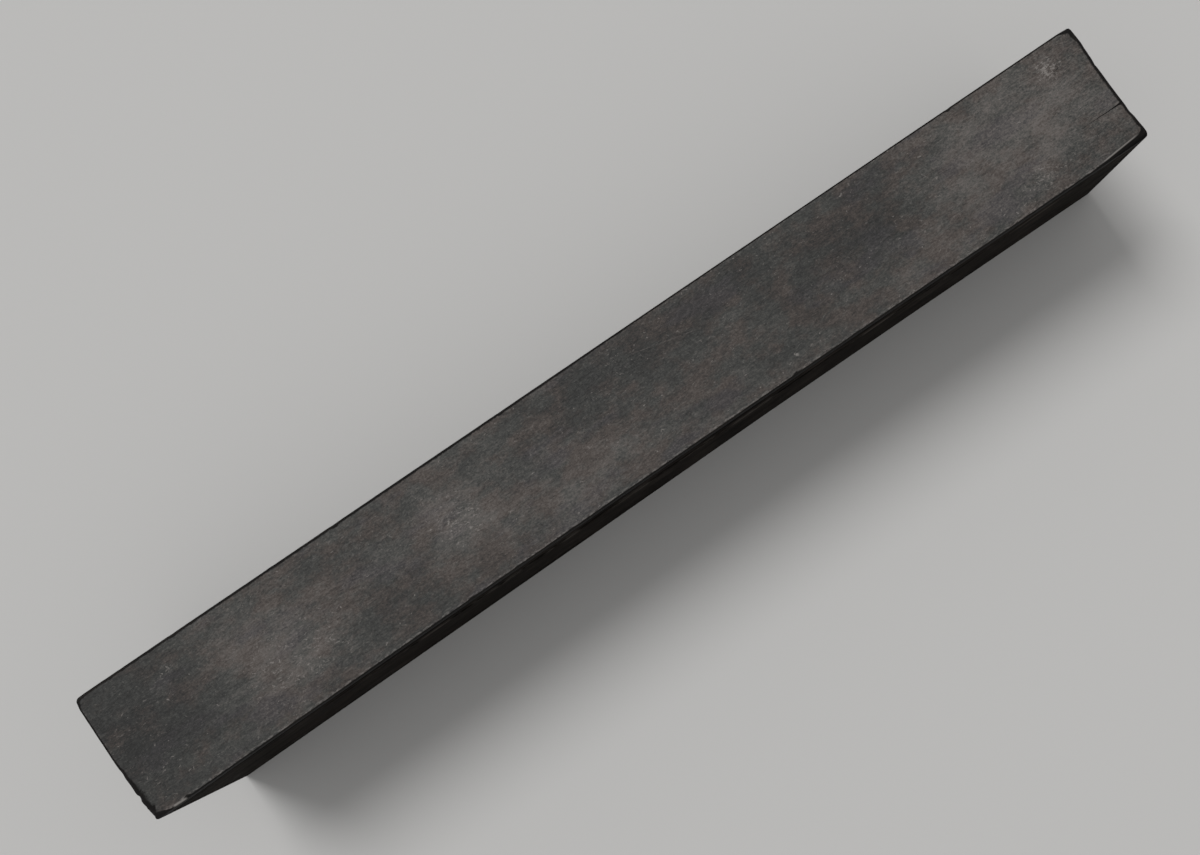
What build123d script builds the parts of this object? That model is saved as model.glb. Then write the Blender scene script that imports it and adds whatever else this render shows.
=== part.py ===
from build123d import *
import os
from math import cos, radians, sin

# Slim lift-off-lid case of dark stained hardwood with one moulded ink stick bedded in silk.
# X runs along the case, -Y is its front long side, Z is up. The origin is the middle of the
# underside. All sizes are millimetres. The stick comes first: the silk fits round it, the boards
# fit round the silk, and together they make a closed case 240 long, 28.2 wide and 36 high.

# Ink stick
stick_length = 205.0
stick_width = 17.0
stick_height = 14.0
stick_arris = 1.1
panel_border = 1.9          # plain frame round the sunk panel, along the stick
panel_end = 9.0             # the same frame at the stick's ends
panel_depth = 0.5
panel_notch = 2.4           # indented corners of the panel
side_panel_border = 3.2
side_panel_depth = 0.35
medallion_margin = 1.1      # between the medallion and the long edges of the panel
medallion_rim = 1.0         # outside the petals
boss_height = 0.35          # medallion above the bottom of the panel
petal_count = 5
petal_radius = 1.7
heart_radius = 0.9

# Silk lifting ribbon, looped round the stick
ribbon_width = 10.4
ribbon_thickness = 0.35
ribbon_gap = 0.2            # between ribbon and stick
ribbon_from_end = 60.5      # ribbon's middle from the stick's left end
ribbon_lap = 2.2            # how far each end stops short of the front corner

# Silk bedding
soft_gap = 0.2              # between silk pieces that lie against each other
bed_height = 7.6
bed_crown = 0.7
bed_draw_in = 0.35
bed_gap = 0.3               # between the bed and the ribbon
lining_thickness = 1.0
lining_gap = 0.25           # between the ribbon and each side lining
lining_rise = 0.8           # side lining above the top of the stick
lining_round = 0.6          # its rolled upper edge, beside the stick
end_gap = 0.5               # between the stick and each end cushion
end_cushion_length = 13.2
end_cushion_rise = 0.95     # end cushion above the top of the stick
end_cushion_crown = 1.4
end_draw_in = 0.5
headroom = 5.95             # finger room between the stick and the lid pad
lid_pad_thickness = 1.6
lid_pad_crown = 0.5
lid_pad_margin = 0.5

# Boards
liner_thickness = 1.0
wall_thickness = 2.8
floor_thickness = 3.0
lid_board_thickness = 3.0
rim_height = 3.0            # the strips sawn off the walls that stay on the lid
finger_count = 5            # comb joint at each corner, bottom and top finger on the long walls
lip_headroom = 0.4          # between the top of the liner and the lid board
lip_clearance = 0.25        # between the liner's lip and the lid's rim
lip_lead = 0.35             # chamfer that lets the lid find the lip

# Edges, and what age and handling have done
corner_radius = 0.9         # upright corners
arris_radius = 0.5          # long and short edges of the top and of the underside
seam_chamfer = 0.25         # eased edges where lid and base meet
front_hollow = 0.6          # the front side has moved and stands hollow by this much
end_hollow = 0.6            # the right end is hollow by this much
worn_length = 17.0          # the rubbed corner at the front right, along the front edge
worn_width = 1.3
worn_depth = 1.5

# Split bamboo nails and blind pegs, pared to eight sides
nail_sides = 8
nail_radius = 0.6
nail_grip = 5.0             # how far a nail goes up into the wall
nails_per_side = 5
nail_margin = 20.0          # first and last nail from the ends of the case
peg_in_rim = 1.6
peg_in_board = 1.4
glue_clearance = 0.02       # round each nail and peg

# What the sizes above give, from the stick outwards
well_length = stick_length + 2 * (end_gap + end_cushion_length)
well_width = stick_width + 2 * (ribbon_gap + ribbon_thickness + lining_gap + lining_thickness)
hollow_length = well_length + 2 * liner_thickness
hollow_width = well_width + 2 * liner_thickness
case_length = hollow_length + 2 * wall_thickness
case_width = hollow_width + 2 * wall_thickness
half_length = case_length / 2
half_width = case_width / 2
bed_top = floor_thickness + bed_height
stick_bottom = bed_top + bed_gap + ribbon_thickness + ribbon_gap
stick_top = stick_bottom + stick_height
board_under = stick_top + headroom + lid_pad_thickness
case_height = board_under + lid_board_thickness
seam_height = board_under - rim_height
lip_top = board_under - lip_headroom
finger_height = (board_under - floor_thickness) / finger_count
nail_length = floor_thickness + nail_grip
nail_spacing = (case_length - 2 * nail_margin) / (nails_per_side - 1)
nail_line = half_width - (wall_thickness + front_hollow) / 2
end_nail_line = half_length - (wall_thickness + end_hollow) / 2
peg_low = board_under - peg_in_rim
peg_high = board_under + peg_in_board
medallion_radius = stick_width / 2 - panel_border - medallion_margin
petal_orbit = medallion_radius - medallion_rim - petal_radius
ribbon_place = ribbon_from_end - stick_length / 2
level_tolerance = 0.001     # for finding edges by their height


def block(x, y, z):
    """A box between two corners, each given as (low, high) along X, Y and Z."""
    centre = [(low + high) / 2 for low, high in (x, y, z)]
    return Pos(*centre) * Box(x[1] - x[0], y[1] - y[0], z[1] - z[0])


def upright(radius, low, high, x, y):
    """A nail standing on Z between two heights."""
    return Pos(x, y, low) * extrude(RegularPolygon(radius, nail_sides), high - low)


def case_outline():
    """The case seen from above: hollow front side, hollow right end, straight back and left."""
    front_left = (-half_length, -half_width)
    front_right = (half_length, -half_width)
    back_right = (half_length, half_width)
    back_left = (-half_length, half_width)
    front = ThreePointArc(front_left, (0, -half_width + front_hollow), front_right)
    right = ThreePointArc(front_right, (half_length - end_hollow, 0), back_right)
    back = Line(back_right, back_left)
    left = Line(back_left, front_left)
    face = make_face([front, right, back, left])
    return fillet(face.vertices(), corner_radius)


def edges_at(solid, height):
    """The edges that lie flat at one height."""
    low, high = height - level_tolerance, height + level_tolerance
    return solid.edges().filter_by_position(Axis.Z, low, high)


def base_form():
    """What the base may fill: the outline up to the seam, with its edges eased."""
    form = extrude(case_outline(), seam_height)
    form = fillet(edges_at(form, 0), arris_radius)
    return chamfer(edges_at(form, seam_height), seam_chamfer)


def worn_corner():
    """What handling has rubbed off the front right corner: all above one slanted plane."""
    along = Vector(half_length - worn_length, -half_width, case_height)
    across = Vector(half_length, -half_width + worn_width, case_height)
    down = Vector(half_length, -half_width, case_height - worn_depth)
    normal = (across - along).cross(down - along)
    if normal.Z < 0:
        normal = normal * -1
    slant = Plane(origin=down, x_dir=(across - along), z_dir=normal)
    reach = 2 * worn_length
    return slant * Pos(0, 0, reach / 2) * Box(2 * reach, 2 * reach, reach)


def lid_form():
    """What the lid may fill: the outline above the seam, eased, with the rubbed corner."""
    form = Pos(0, 0, seam_height) * extrude(case_outline(), case_height - seam_height)
    form = fillet(edges_at(form, case_height), arris_radius)
    form = chamfer(edges_at(form, seam_height), seam_chamfer)
    return form - worn_corner()


def nail_places():
    """Where the floor board is nailed: a row along each long wall and one nail at each end."""
    rows = [
        (-half_length + nail_margin + nail_spacing * i, side * nail_line)
        for side in (-1, 1)
        for i in range(nails_per_side)
    ]
    return rows + [(side * end_nail_line, 0) for side in (-1, 1)]


def peg_places():
    """Where the lid board is pegged to its long rims, halfway between the nails of the base."""
    return [
        (-half_length + nail_margin + nail_spacing * (i + 0.5), side * nail_line)
        for side in (-1, 1)
        for i in range(nails_per_side - 1)
    ]


def pin_group(places, low, high, radius):
    """Equal pins at several places, as one group of separate solids."""
    return Compound([upright(radius, low, high, x, y) for x, y in places])


def drilled(board, places, low, high):
    """A board with the holes for pins that run between two heights."""
    for x, y in places:
        board = board - upright(nail_radius + glue_clearance, low, high, x, y)
    return board


def finger_range(index):
    """The lowest and highest point of one finger of the comb joint."""
    low = floor_thickness + index * finger_height
    return (low, low + finger_height)


def long_board(side):
    """A long wall, full height, with its share of the fingers at both corners."""
    outer = side * half_width
    inner = side * (half_width - wall_thickness)
    thickness = (min(outer, inner), max(outer, inner))
    board = block((-half_length, half_length), thickness, (floor_thickness, board_under))
    for index in range(1, finger_count, 2):
        for end in (-1, 1):
            ends = sorted((end * half_length, end * (half_length - wall_thickness)))
            board = board - block(ends, thickness, finger_range(index))
    return board


def end_board(side):
    """An end wall, full height, with the fingers that the long walls leave it."""
    ends = sorted((side * half_length, side * (half_length - wall_thickness)))
    board = block(ends, (-half_width, half_width), (floor_thickness, board_under))
    for index in range(0, finger_count, 2):
        for edge in (-1, 1):
            corner = sorted((edge * half_width, edge * (half_width - wall_thickness)))
            board = board - block(ends, corner, finger_range(index))
    return board


def long_liner(side):
    """A long liner with mitred ends. Above the seam it is planed back to clear the lid."""
    outer = hollow_width / 2
    inner = well_width / 2
    plan = Polyline(
        (-hollow_length / 2, side * outer),
        (hollow_length / 2, side * outer),
        (well_length / 2, side * inner),
        (-well_length / 2, side * inner),
        close=True,
    )
    return lipped(plan)


def end_liner(side):
    """An end liner with mitred ends."""
    plan = Polyline(
        (side * hollow_length / 2, -hollow_width / 2),
        (side * hollow_length / 2, hollow_width / 2),
        (side * well_length / 2, well_width / 2),
        (side * well_length / 2, -well_width / 2),
        close=True,
    )
    return lipped(plan)


def lip_clear_of_lid():
    """What the liners may fill: the hollow below the seam, and the lip inside the lid's rim."""
    lip_length = hollow_length - 2 * lip_clearance
    lip_width = hollow_width - 2 * lip_clearance
    lip = block(
        (-lip_length / 2, lip_length / 2),
        (-lip_width / 2, lip_width / 2),
        (seam_height, lip_top),
    )
    lip = chamfer(edges_at(lip, lip_top), lip_lead)
    below = block(
        (-hollow_length / 2, hollow_length / 2),
        (-hollow_width / 2, hollow_width / 2),
        (floor_thickness, seam_height),
    )
    return below + lip


def lipped(plan):
    """A liner from its plan, cut to the room that the lid leaves it."""
    board = extrude(make_face(plan.edges()), lip_top - floor_thickness, dir=(0, 0, 1))
    return Pos(0, 0, floor_thickness) * board & lip_clear_of_lid()


def cushion(length, width, height, crown, draw_in):
    """A padded block on Z = 0: crowned both ways, its sides drawn in between the corners."""
    x, y = length / 2, width / 2
    plan = make_face(
        [
            ThreePointArc((-x, -y), (0, -y + draw_in), (x, -y)),
            ThreePointArc((x, -y), (x - draw_in, 0), (x, y)),
            ThreePointArc((x, y), (0, y - draw_in), (-x, y)),
            ThreePointArc((-x, y), (-x + draw_in, 0), (-x, -y)),
        ]
    )
    body = extrude(plan, height, dir=(0, 0, 1))
    across = arched(width, length, height - crown, height, Plane.YZ)
    along = arched(length, width, height - crown, height + crown, Plane.XZ)
    return body & across & along


def arched(span, run, shoulder, crest, plane):
    """A bar whose top is one arc from shoulder to shoulder, drawn on a plane and run through it."""
    half = span / 2
    profile = make_face(
        [
            Line((-half, 0), (half, 0)),
            Line((half, 0), (half, shoulder)),
            ThreePointArc((half, shoulder), (0, crest), (-half, shoulder)),
            Line((-half, shoulder), (-half, 0)),
        ]
    )
    return extrude(plane * profile, run, both=True)


def notched_panel(length, width, notch):
    """A panel outline with indented round corners."""
    panel = Rectangle(length, width)
    for x in (-1, 1):
        for y in (-1, 1):
            panel = panel - Pos(x * length / 2, y * width / 2) * Circle(notch)
    return panel


def medallion():
    """A disc with a five-petalled blossom sunk into it, on Z = 0."""
    disc = extrude(Circle(medallion_radius), boss_height)
    blossom = Circle(heart_radius)
    for i in range(petal_count):
        turn = radians(90 + 360 * i / petal_count)
        blossom = blossom + Pos(petal_orbit * cos(turn), petal_orbit * sin(turn)) * Circle(petal_radius)
    return disc - Pos(0, 0, boss_height / 2) * extrude(blossom, boss_height)


def ink_stick():
    """The stick: a bar with rounded arrises, a sunk panel above and below and one on each side."""
    bar = Box(stick_length, stick_width, stick_height)
    bar = fillet(bar.edges(), stick_arris)
    panel = notched_panel(
        stick_length - 2 * panel_end, stick_width - 2 * panel_border, panel_notch
    )
    face_cut = extrude(panel, panel_depth)
    top_cut = Pos(0, 0, stick_height / 2 - panel_depth) * face_cut
    bar = bar - top_cut - mirror(top_cut, about=Plane.XY)
    side_panel = Rectangle(stick_length - 2 * panel_end, stick_height - 2 * side_panel_border)
    side_cut = extrude(Plane.XZ * side_panel, side_panel_depth, both=True)
    for side in (-1, 1):
        bar = bar - Pos(0, side * stick_width / 2, 0) * side_cut
    bar = bar + Pos(0, 0, stick_height / 2 - panel_depth) * medallion()
    return Pos(0, 0, stick_bottom + stick_height / 2) * bar


def lift_ribbon():
    """A flat ribbon under the stick, up behind it and back over its top, open at the front."""
    inner_y = stick_width / 2 + ribbon_gap
    inner_z = stick_height / 2 + ribbon_gap
    turn = stick_arris + ribbon_gap
    middle = stick_bottom + stick_height / 2
    hole = RectangleRounded(2 * inner_y, 2 * inner_z, turn)
    band = RectangleRounded(
        2 * (inner_y + ribbon_thickness), 2 * (inner_z + ribbon_thickness), turn + ribbon_thickness
    )
    section = band - hole
    open_front = 2 * ribbon_lap
    section = section - Pos(-inner_y, 0) * Rectangle(open_front, 3 * stick_height)
    ribbon = extrude(Plane.YZ * section, ribbon_width / 2, both=True)
    return Pos(ribbon_place, 0, middle) * ribbon


def side_lining(side):
    """A thin padded strip between the stick and a long liner, over the bed."""
    length = stick_length + 2 * end_gap - 2 * soft_gap
    low = bed_top + soft_gap
    high = stick_top + lining_rise
    face = side * (well_width / 2 - lining_thickness)
    back = side * well_width / 2
    strip = block((-length / 2, length / 2), sorted((face, back)), (low, high))
    top_inner = edges_at(strip, high).filter_by(Axis.X).sort_by(Axis.Y)
    return fillet(top_inner[-1 if side < 0 else 0], lining_round)


def end_cushion(side):
    """The padded block that fills the well past one end of the stick."""
    low = bed_top + soft_gap
    height = stick_top + end_cushion_rise - low
    body = cushion(end_cushion_length, well_width, height, end_cushion_crown, end_draw_in)
    return Pos(side * (well_length - end_cushion_length) / 2, 0, low) * body


os.makedirs("parts", exist_ok=True)
base_room = base_form()
lid_room = lid_form()
floor_board = block(
    (-half_length, half_length), (-half_width, half_width), (0, floor_thickness)
)
lid_board = block(
    (-half_length, half_length), (-half_width, half_width), (board_under, case_height)
)
nodes = {
    "floor_board": drilled(floor_board & base_room, nail_places(), 0, nail_length),
    "lid_board": drilled(lid_board & lid_room, peg_places(), 0, peg_high),
}
for name, side in (("front", -1), ("back", 1)):
    board = long_board(side)
    nodes[name + "_wall"] = drilled(board & base_room, nail_places(), 0, nail_length)
    nodes["lid_" + name + "_rim"] = drilled(board & lid_room, peg_places(), peg_low, case_height)
    nodes[name + "_liner"] = long_liner(side)
    nodes[name + "_lining"] = side_lining(side)
for name, side in (("left", -1), ("right", 1)):
    board = end_board(side)
    nodes[name + "_wall"] = drilled(board & base_room, nail_places(), 0, nail_length)
    nodes["lid_" + name + "_rim"] = board & lid_room
    nodes[name + "_liner"] = end_liner(side)
    nodes[name + "_cushion"] = end_cushion(side)
nodes["floor_nails"] = pin_group(nail_places(), 0, nail_length, nail_radius)
nodes["lid_pegs"] = pin_group(peg_places(), peg_low, peg_high, nail_radius)
nodes["bed_cushion"] = Pos(0, 0, floor_thickness) * cushion(
    well_length, well_width, bed_height, bed_crown, bed_draw_in
)
lid_pad = cushion(
    well_length - 2 * lid_pad_margin,
    well_width - 2 * lid_pad_margin,
    lid_pad_thickness,
    lid_pad_crown,
    bed_draw_in,
)
nodes["lid_pad"] = Pos(0, 0, board_under) * Rot(180, 0, 0) * lid_pad
nodes["ink_stick"] = ink_stick()
nodes["lift_ribbon"] = lift_ribbon()

for name, shape in nodes.items():
    export_step(shape, "parts/" + name + ".step")
print("nodes", len(nodes))
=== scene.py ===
import math

import bmesh
import bpy
import numpy as np
from mathutils import Matrix, Vector


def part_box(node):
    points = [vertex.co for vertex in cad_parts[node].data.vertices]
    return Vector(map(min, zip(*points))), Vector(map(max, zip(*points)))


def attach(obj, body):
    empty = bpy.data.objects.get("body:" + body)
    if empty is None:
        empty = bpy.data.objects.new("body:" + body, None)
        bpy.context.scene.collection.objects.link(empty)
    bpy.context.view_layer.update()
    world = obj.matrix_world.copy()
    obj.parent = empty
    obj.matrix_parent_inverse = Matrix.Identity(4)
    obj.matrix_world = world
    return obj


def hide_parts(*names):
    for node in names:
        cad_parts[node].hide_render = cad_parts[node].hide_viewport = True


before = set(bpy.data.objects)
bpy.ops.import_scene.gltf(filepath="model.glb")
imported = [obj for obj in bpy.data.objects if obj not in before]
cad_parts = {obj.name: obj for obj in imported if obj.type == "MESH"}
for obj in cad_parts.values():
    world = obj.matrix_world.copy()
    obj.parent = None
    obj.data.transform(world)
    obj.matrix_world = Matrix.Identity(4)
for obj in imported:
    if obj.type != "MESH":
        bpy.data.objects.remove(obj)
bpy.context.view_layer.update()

# A slim lift-off-lid case of dark stained hardwood with a moulded, gilded ink stick bedded in
# silk. X runs along the case, -Y is its front long side, Z is up. Shapes are worked out in
# millimetres and made in metres.
MM = 0.001

# Camera: above the case, a little in front of it, turned so that the case lies on the diagonal
camera_place = (0.00357, -0.03311, 0.23484)
camera_right = (0.81906, -0.57299, 0.02875)
camera_back = (-0.06651, -0.04505, 0.99677)
camera_lens = 30.0
camera_sensor = 36.0
camera_shift = (-170 / 1200, 30 / 1200)     # the framing sets the lens axis off the middle

# Light and floor
key_from = (-0.20, 0.72, 0.95)
key_spread = 27.0               # degrees, so that shadows are soft
key_strength = 1.78
sky_strength = 0.42
floor_colour = (0.56, 0.555, 0.545)
floor_reach = 80.0              # metres, past what any view shows
floor_height = -0.02            # millimetres, a hair below the case
backdrop_colour = (0.488, 0.484, 0.475)


def corners(node):
    """The lowest and highest corner of a CAD node, in millimetres."""
    low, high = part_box(node)
    return np.array(low) / MM, np.array(high) / MM


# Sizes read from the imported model, in millimetres
floor_low, floor_high = corners("floor_board")
board_low, board_high = corners("lid_board")
stick_low, stick_high = corners("ink_stick")
seam_height = corners("lid_front_rim")[0][2]
case_length = floor_high[0] - floor_low[0]
case_width = floor_high[1] - floor_low[1]
half_length = case_length / 2
half_width = case_width / 2
case_height = board_high[2]


class Field:
    """A number that varies over a piece. Sums and products of fields add Math nodes."""

    def __init__(self, graph, socket):
        self.graph = graph
        self.socket = socket

    def __add__(self, other):
        return self.graph.math("ADD", self, other)

    def __radd__(self, other):
        return self.graph.math("ADD", other, self)

    def __sub__(self, other):
        return self.graph.math("SUBTRACT", self, other)

    def __rsub__(self, other):
        return self.graph.math("SUBTRACT", other, self)

    def __mul__(self, other):
        return self.graph.math("MULTIPLY", self, other)

    def __rmul__(self, other):
        return self.graph.math("MULTIPLY", other, self)

    def __truediv__(self, other):
        return self.graph.math("DIVIDE", self, other)

    def __neg__(self):
        return self.graph.math("MULTIPLY", self, -1.0)

    def __abs__(self):
        return self.graph.math("ABSOLUTE", self)


class Graph:
    """Adds nodes to one tree and wires them as they are named."""

    def __init__(self, tree):
        self.tree = tree

    def node(self, kind, feeds=None, **settings):
        node = self.tree.nodes.new(kind)
        for name, value in settings.items():
            setattr(node, name, value)
        for name, value in (feeds or {}).items():
            self.feed(node.inputs[name], value)
        return node

    def feed(self, socket, value):
        if isinstance(value, Field):
            self.tree.links.new(value.socket, socket)
        else:
            socket.default_value = value

    def field(self, kind, output, feeds=None, **settings):
        return Field(self, self.node(kind, feeds, **settings).outputs[output])

    def math(self, operation, *values):
        node = self.tree.nodes.new("ShaderNodeMath")
        node.operation = operation
        for socket, value in zip(node.inputs, values):
            self.feed(socket, value)
        return Field(self, node.outputs[0])

    def least(self, *values):
        first, *others = values
        for other in others:
            first = self.math("MINIMUM", first, other)
        return first

    def most(self, *values):
        first, *others = values
        for other in others:
            first = self.math("MAXIMUM", first, other)
        return first

    def within(self, value, low, high):
        return self.least(self.most(value, low), high)

    def rise(self, value, low, high):
        """0 below low, 1 above high, smooth between."""
        feeds = {"Value": value, "From Min": low, "From Max": high}
        return self.field(
            "ShaderNodeMapRange", "Result", feeds, interpolation_type="SMOOTHSTEP", clamp=True
        )

    def fall(self, value, low, high):
        """1 below low, 0 above high, smooth between."""
        return 1 - self.rise(value, low, high)

    def length(self, *parts):
        total = parts[0] * parts[0]
        for part in parts[1:]:
            total = total + part * part
        return self.math("SQRT", total)

    def point(self, x, y, z=0.0):
        return self.field("ShaderNodeCombineXYZ", "Vector", {"X": x, "Y": y, "Z": z})

    def vector(self, operation, *values):
        feeds = dict(enumerate(values))
        return self.field("ShaderNodeVectorMath", "Vector", feeds, operation=operation)

    def scaled(self, vector, factor):
        feeds = {0: vector, "Scale": factor}
        return self.field("ShaderNodeVectorMath", "Vector", feeds, operation="SCALE")

    def parts(self, vector):
        node = self.node("ShaderNodeSeparateXYZ", {"Vector": vector})
        return [Field(self, output) for output in node.outputs]

    def noise(self, place, scale=1.0, detail=3.0, roughness=0.55, distortion=0.0):
        """Cloudy noise about 0.5, with features about 1/scale long."""
        feeds = {
            "Vector": place,
            "Scale": scale,
            "Detail": detail,
            "Roughness": roughness,
            "Distortion": distortion,
        }
        return self.field("ShaderNodeTexNoise", 0, feeds)

    def spot(self, x, y, centre, reach):
        """1 at a place, falling smoothly to 0 at its reach along and across."""
        away = self.length((x - centre[0]) / reach[0], (y - centre[1]) / reach[1])
        return self.fall(away, 0.0, 1.0)

    def line(self, x, y, start, end, width):
        """1 on a straight line between two places, 0 beyond its width, with faded ends."""
        run = Vector(end) - Vector(start)
        reach = run.length
        along = ((x - start[0]) * run[0] + (y - start[1]) * run[1]) / reach
        aside = ((x - start[0]) * run[1] - (y - start[1]) * run[0]) / reach
        ends = self.rise(along, 0.0, reach * 0.2) * self.fall(along, reach * 0.8, reach)
        return self.fall(abs(aside), 0.0, width) * ends


class Finish(Graph):
    """A material in the making. x, y and z are the place on the piece in millimetres."""

    def __init__(self, name, **settings):
        self.material = bpy.data.materials.new(name)
        self.material.use_nodes = True
        super().__init__(self.material.node_tree)
        self.tree.nodes.clear()
        self.shader = self.node("ShaderNodeBsdfPrincipled")
        output = self.node("ShaderNodeOutputMaterial")
        self.tree.links.new(self.shader.outputs["BSDF"], output.inputs["Surface"])
        for label, value in settings.items():
            self.shader.inputs[label.replace("_", " ")].default_value = value
        coordinates = self.node("ShaderNodeTexCoord")
        self.place = self.scaled(Field(self, coordinates.outputs["Object"]), 1 / MM)
        self.x, self.y, self.z = self.parts(self.place)

    def stretched(self, x, y, z):
        """The place with each direction scaled, so that a noise runs long along the smallest."""
        return self.point(self.x * x, self.y * y, self.z * z)

    def attribute(self, name):
        return self.field("ShaderNodeAttribute", "Fac", attribute_name=name)

    def facing(self):
        """The parts of the surface's direction along X, Y and Z."""
        return self.parts(self.field("ShaderNodeTexCoord", "Normal"))

    def mix(self, share, first, second):
        """A colour between two, each a triple or another colour."""
        node = self.node("ShaderNodeMix", data_type="RGBA", clamp_factor=True)
        self.feed(node.inputs[0], share)
        for socket, colour in ((node.inputs[6], first), (node.inputs[7], second)):
            self.feed(socket, colour if isinstance(colour, Field) else (*colour, 1.0))
        return Field(self, node.outputs[2])

    def colour(self, value):
        self.feed(self.shader.inputs["Base Color"], value)

    def roughness(self, value):
        self.feed(self.shader.inputs["Roughness"], self.within(value, 0.05, 1.0))

    def metal(self, value):
        self.feed(self.shader.inputs["Metallic"], value)

    def relief(self, height):
        """Fine relief, given as a height in millimetres."""
        node = self.node("ShaderNodeBump", {"Strength": 1.0, "Distance": MM, "Height": height})
        self.tree.links.new(node.outputs["Normal"], self.shader.inputs["Normal"])


# Colours of the case: its stained wood, the patina on its top, and what has rubbed pale; the chalk
# colour also paints highlights along the top's upper edge
ebony = (0.0052, 0.0048, 0.0045)
ebony_brown = (0.0175, 0.0140, 0.0117)
wall_black = (0.0078, 0.0071, 0.0066)
wall_brown = (0.0270, 0.0218, 0.0184)
wall_patina = (0.0450, 0.0395, 0.0353)
wall_pore = (0.003, 0.0028, 0.0026)
rubbed_edge = (0.080, 0.072, 0.065)
patina_deep = (0.024, 0.0238, 0.0235)
patina_grey = (0.060, 0.0612, 0.0575)
patina_brown = (0.076, 0.0625, 0.0555)
patina_violet = (0.060, 0.0555, 0.0585)
dust_pale = (0.152, 0.137, 0.128)
# chalky scuffs on the top, and painted highlight along its upper edge
chalk_and_highlight = (0.300, 0.280, 0.262)

# Colours of the liners and of the bamboo pins
liner_dark = (0.075, 0.026, 0.012)
liner_light = (0.205, 0.085, 0.038)
liner_pore = (0.03, 0.012, 0.007)
bamboo_dark = (0.30, 0.19, 0.085)
bamboo_light = (0.46, 0.33, 0.17)
bamboo_fibre = (0.10, 0.055, 0.025)

# Colours of the silk (weft, then warp), its cord and the ribbon; the ribbon's furrow colour is
# painted shade between its ribs
silk_ground = ((0.215, 0.135, 0.045), (0.270, 0.175, 0.062))
silk_figure = ((0.43, 0.32, 0.145), (0.52, 0.40, 0.20))
silk_soiled = (0.18, 0.115, 0.05)
silk_slub = (0.50, 0.38, 0.19)
cord_dark = (0.17, 0.095, 0.028)
cord_light = (0.42, 0.28, 0.10)
ribbon_furrow_shade = (0.085, 0.0065, 0.0075)
ribbon_rib = (0.185, 0.014, 0.015)
ribbon_warp = (0.26, 0.04, 0.035)
ribbon_faded = (0.20, 0.045, 0.030)
ribbon_selvedge = (0.20, 0.022, 0.02)

# Colours of the ink and of the gold leaf on its relief
ink_black = (0.0075, 0.0075, 0.0085)
ink_worn = (0.017, 0.0155, 0.0145)
ink_dust = (0.045, 0.04, 0.036)
gold_deep = (0.50, 0.30, 0.085)
gold_light = (0.72, 0.47, 0.17)
gold_rubbed_through = (0.012, 0.010, 0.009)

# Weaves, in millimetres
cloth_pitch = 0.42
diaper_pitch = 1.15
rib_pitch = 0.34
ribbon_warp_pitch = 0.20
selvedge_from, selvedge_to = 4.3, 4.6       # from the ribbon's middle line

# Paler places on the top: centre, reach, strength
pale_places = (
    ((-84, 1.0), (24, 16), 0.24),
    ((-81, -5.0), (13, 7), 0.25),
    ((-40, 2.0), (36, 18), 0.10),
    ((-41, 1.0), (13, 11), 0.28),
    ((-14, -7.0), (26, 8), 0.26),
    ((66, -9.0), (22, 7), 0.22),
    ((98, 1.0), (40, 20), 0.42),
)
# Darker places on the top
dark_places = (
    ((-118, 2.0), (30, 24), 0.37),
    ((-58, -6.0), (12, 8), 0.20),
    ((8, 9.0), (44, 10), 0.26),
    ((56, 4.0), (30, 14), 0.24),
)
# Chalky scuffs on the top: centre, reach, strength
scuffs = (
    ((110.6, 9.0), (5.0, 4.2), 0.17),
    ((-41.0, 0.8), (8.0, 8.5), 0.10),
    ((-81.0, -4.0), (18.0, 11.0), 0.07),
    ((-102.7, 8.6), (3.0, 2.0), 0.12),
    ((-112.6, -6.4), (2.0, 1.2), 0.10),
    ((97.0, -9.0), (13.0, 4.5), 0.09),
    ((33.3, -10.2), (1.2, 0.9), 0.20),
    ((59.5, 11.8), (1.2, 0.9), 0.20),
)
# Where the upper edge is rubbed and painted pale as a highlight: start, end, width
highlit_rubbed_edges = (
    ((107.5, -13.45), (118.6, -12.6), 0.26),
    ((-115.4, -13.7), (-112.0, -13.9), 0.40),
)
# Scratches on the top: start, end, width
scratches = (
    ((3.9, 9.3), (21.0, 5.1), 0.16),
    ((91, -5.2), (101, -12.2), 0.12),
    ((95, -5.8), (103, -11.0), 0.10),
    ((82, 1.6), (118.5, 1.9), 0.12),
    ((79, 9.3), (94, 9.5), 0.10),
    ((-104, 7.8), (-99, 9.6), 0.10),
    ((-60, 3.0), (-52, 8.0), 0.10),
)


def top_tone(f, streaks, fibres, mottle, grit, creases):
    """How light the patina is: cloudy, coarser at the right end, paler or darker in given places.
    """
    clouds = f.noise(f.stretched(0.045, 0.085, 0.085), detail=4.0, roughness=0.6)
    tone = (clouds - 0.5) * 0.34 + (mottle - 0.5) * 1.02 + (streaks - 0.5) * 0.48 + 0.49
    coarser = 1.55 + f.rise(f.x, 60.0, 112.0) * 0.6
    tone = tone + ((fibres - 0.5) + (grit - 0.5)) * coarser
    tone = tone - creases * f.rise(grit, 0.40, 0.60) * 0.16
    broken = 0.20 + mottle * 1.6
    for centre, reach, strength in pale_places:
        tone = tone + f.spot(f.x, f.y, centre, reach) * broken * strength
    for centre, reach, strength in dark_places:
        tone = tone - f.spot(f.x, f.y, centre, reach) * strength
    return tone


def patina(f, tone):
    """The patina's colour: grey, brown and violet by turns, from deep to dusty."""
    tint = f.noise(f.stretched(0.11, 0.17, 0.17), detail=6.0, roughness=0.66)
    tint = tint - f.fall(f.x, -106.0, -84.0) * 0.05
    cool = f.noise(f.stretched(0.06, 0.15, 0.2), detail=5.0, roughness=0.6)
    body = f.mix(f.rise(tint, 0.42, 0.60), patina_grey, patina_brown)
    body = f.mix(f.rise(cool, 0.52, 0.66) * 0.8, body, patina_violet)
    wood = f.mix(f.rise(tone, -0.15, 0.74), patina_deep, body)
    return f.mix(f.rise(tone, 0.36, 1.45), wood, dust_pale)


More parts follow.
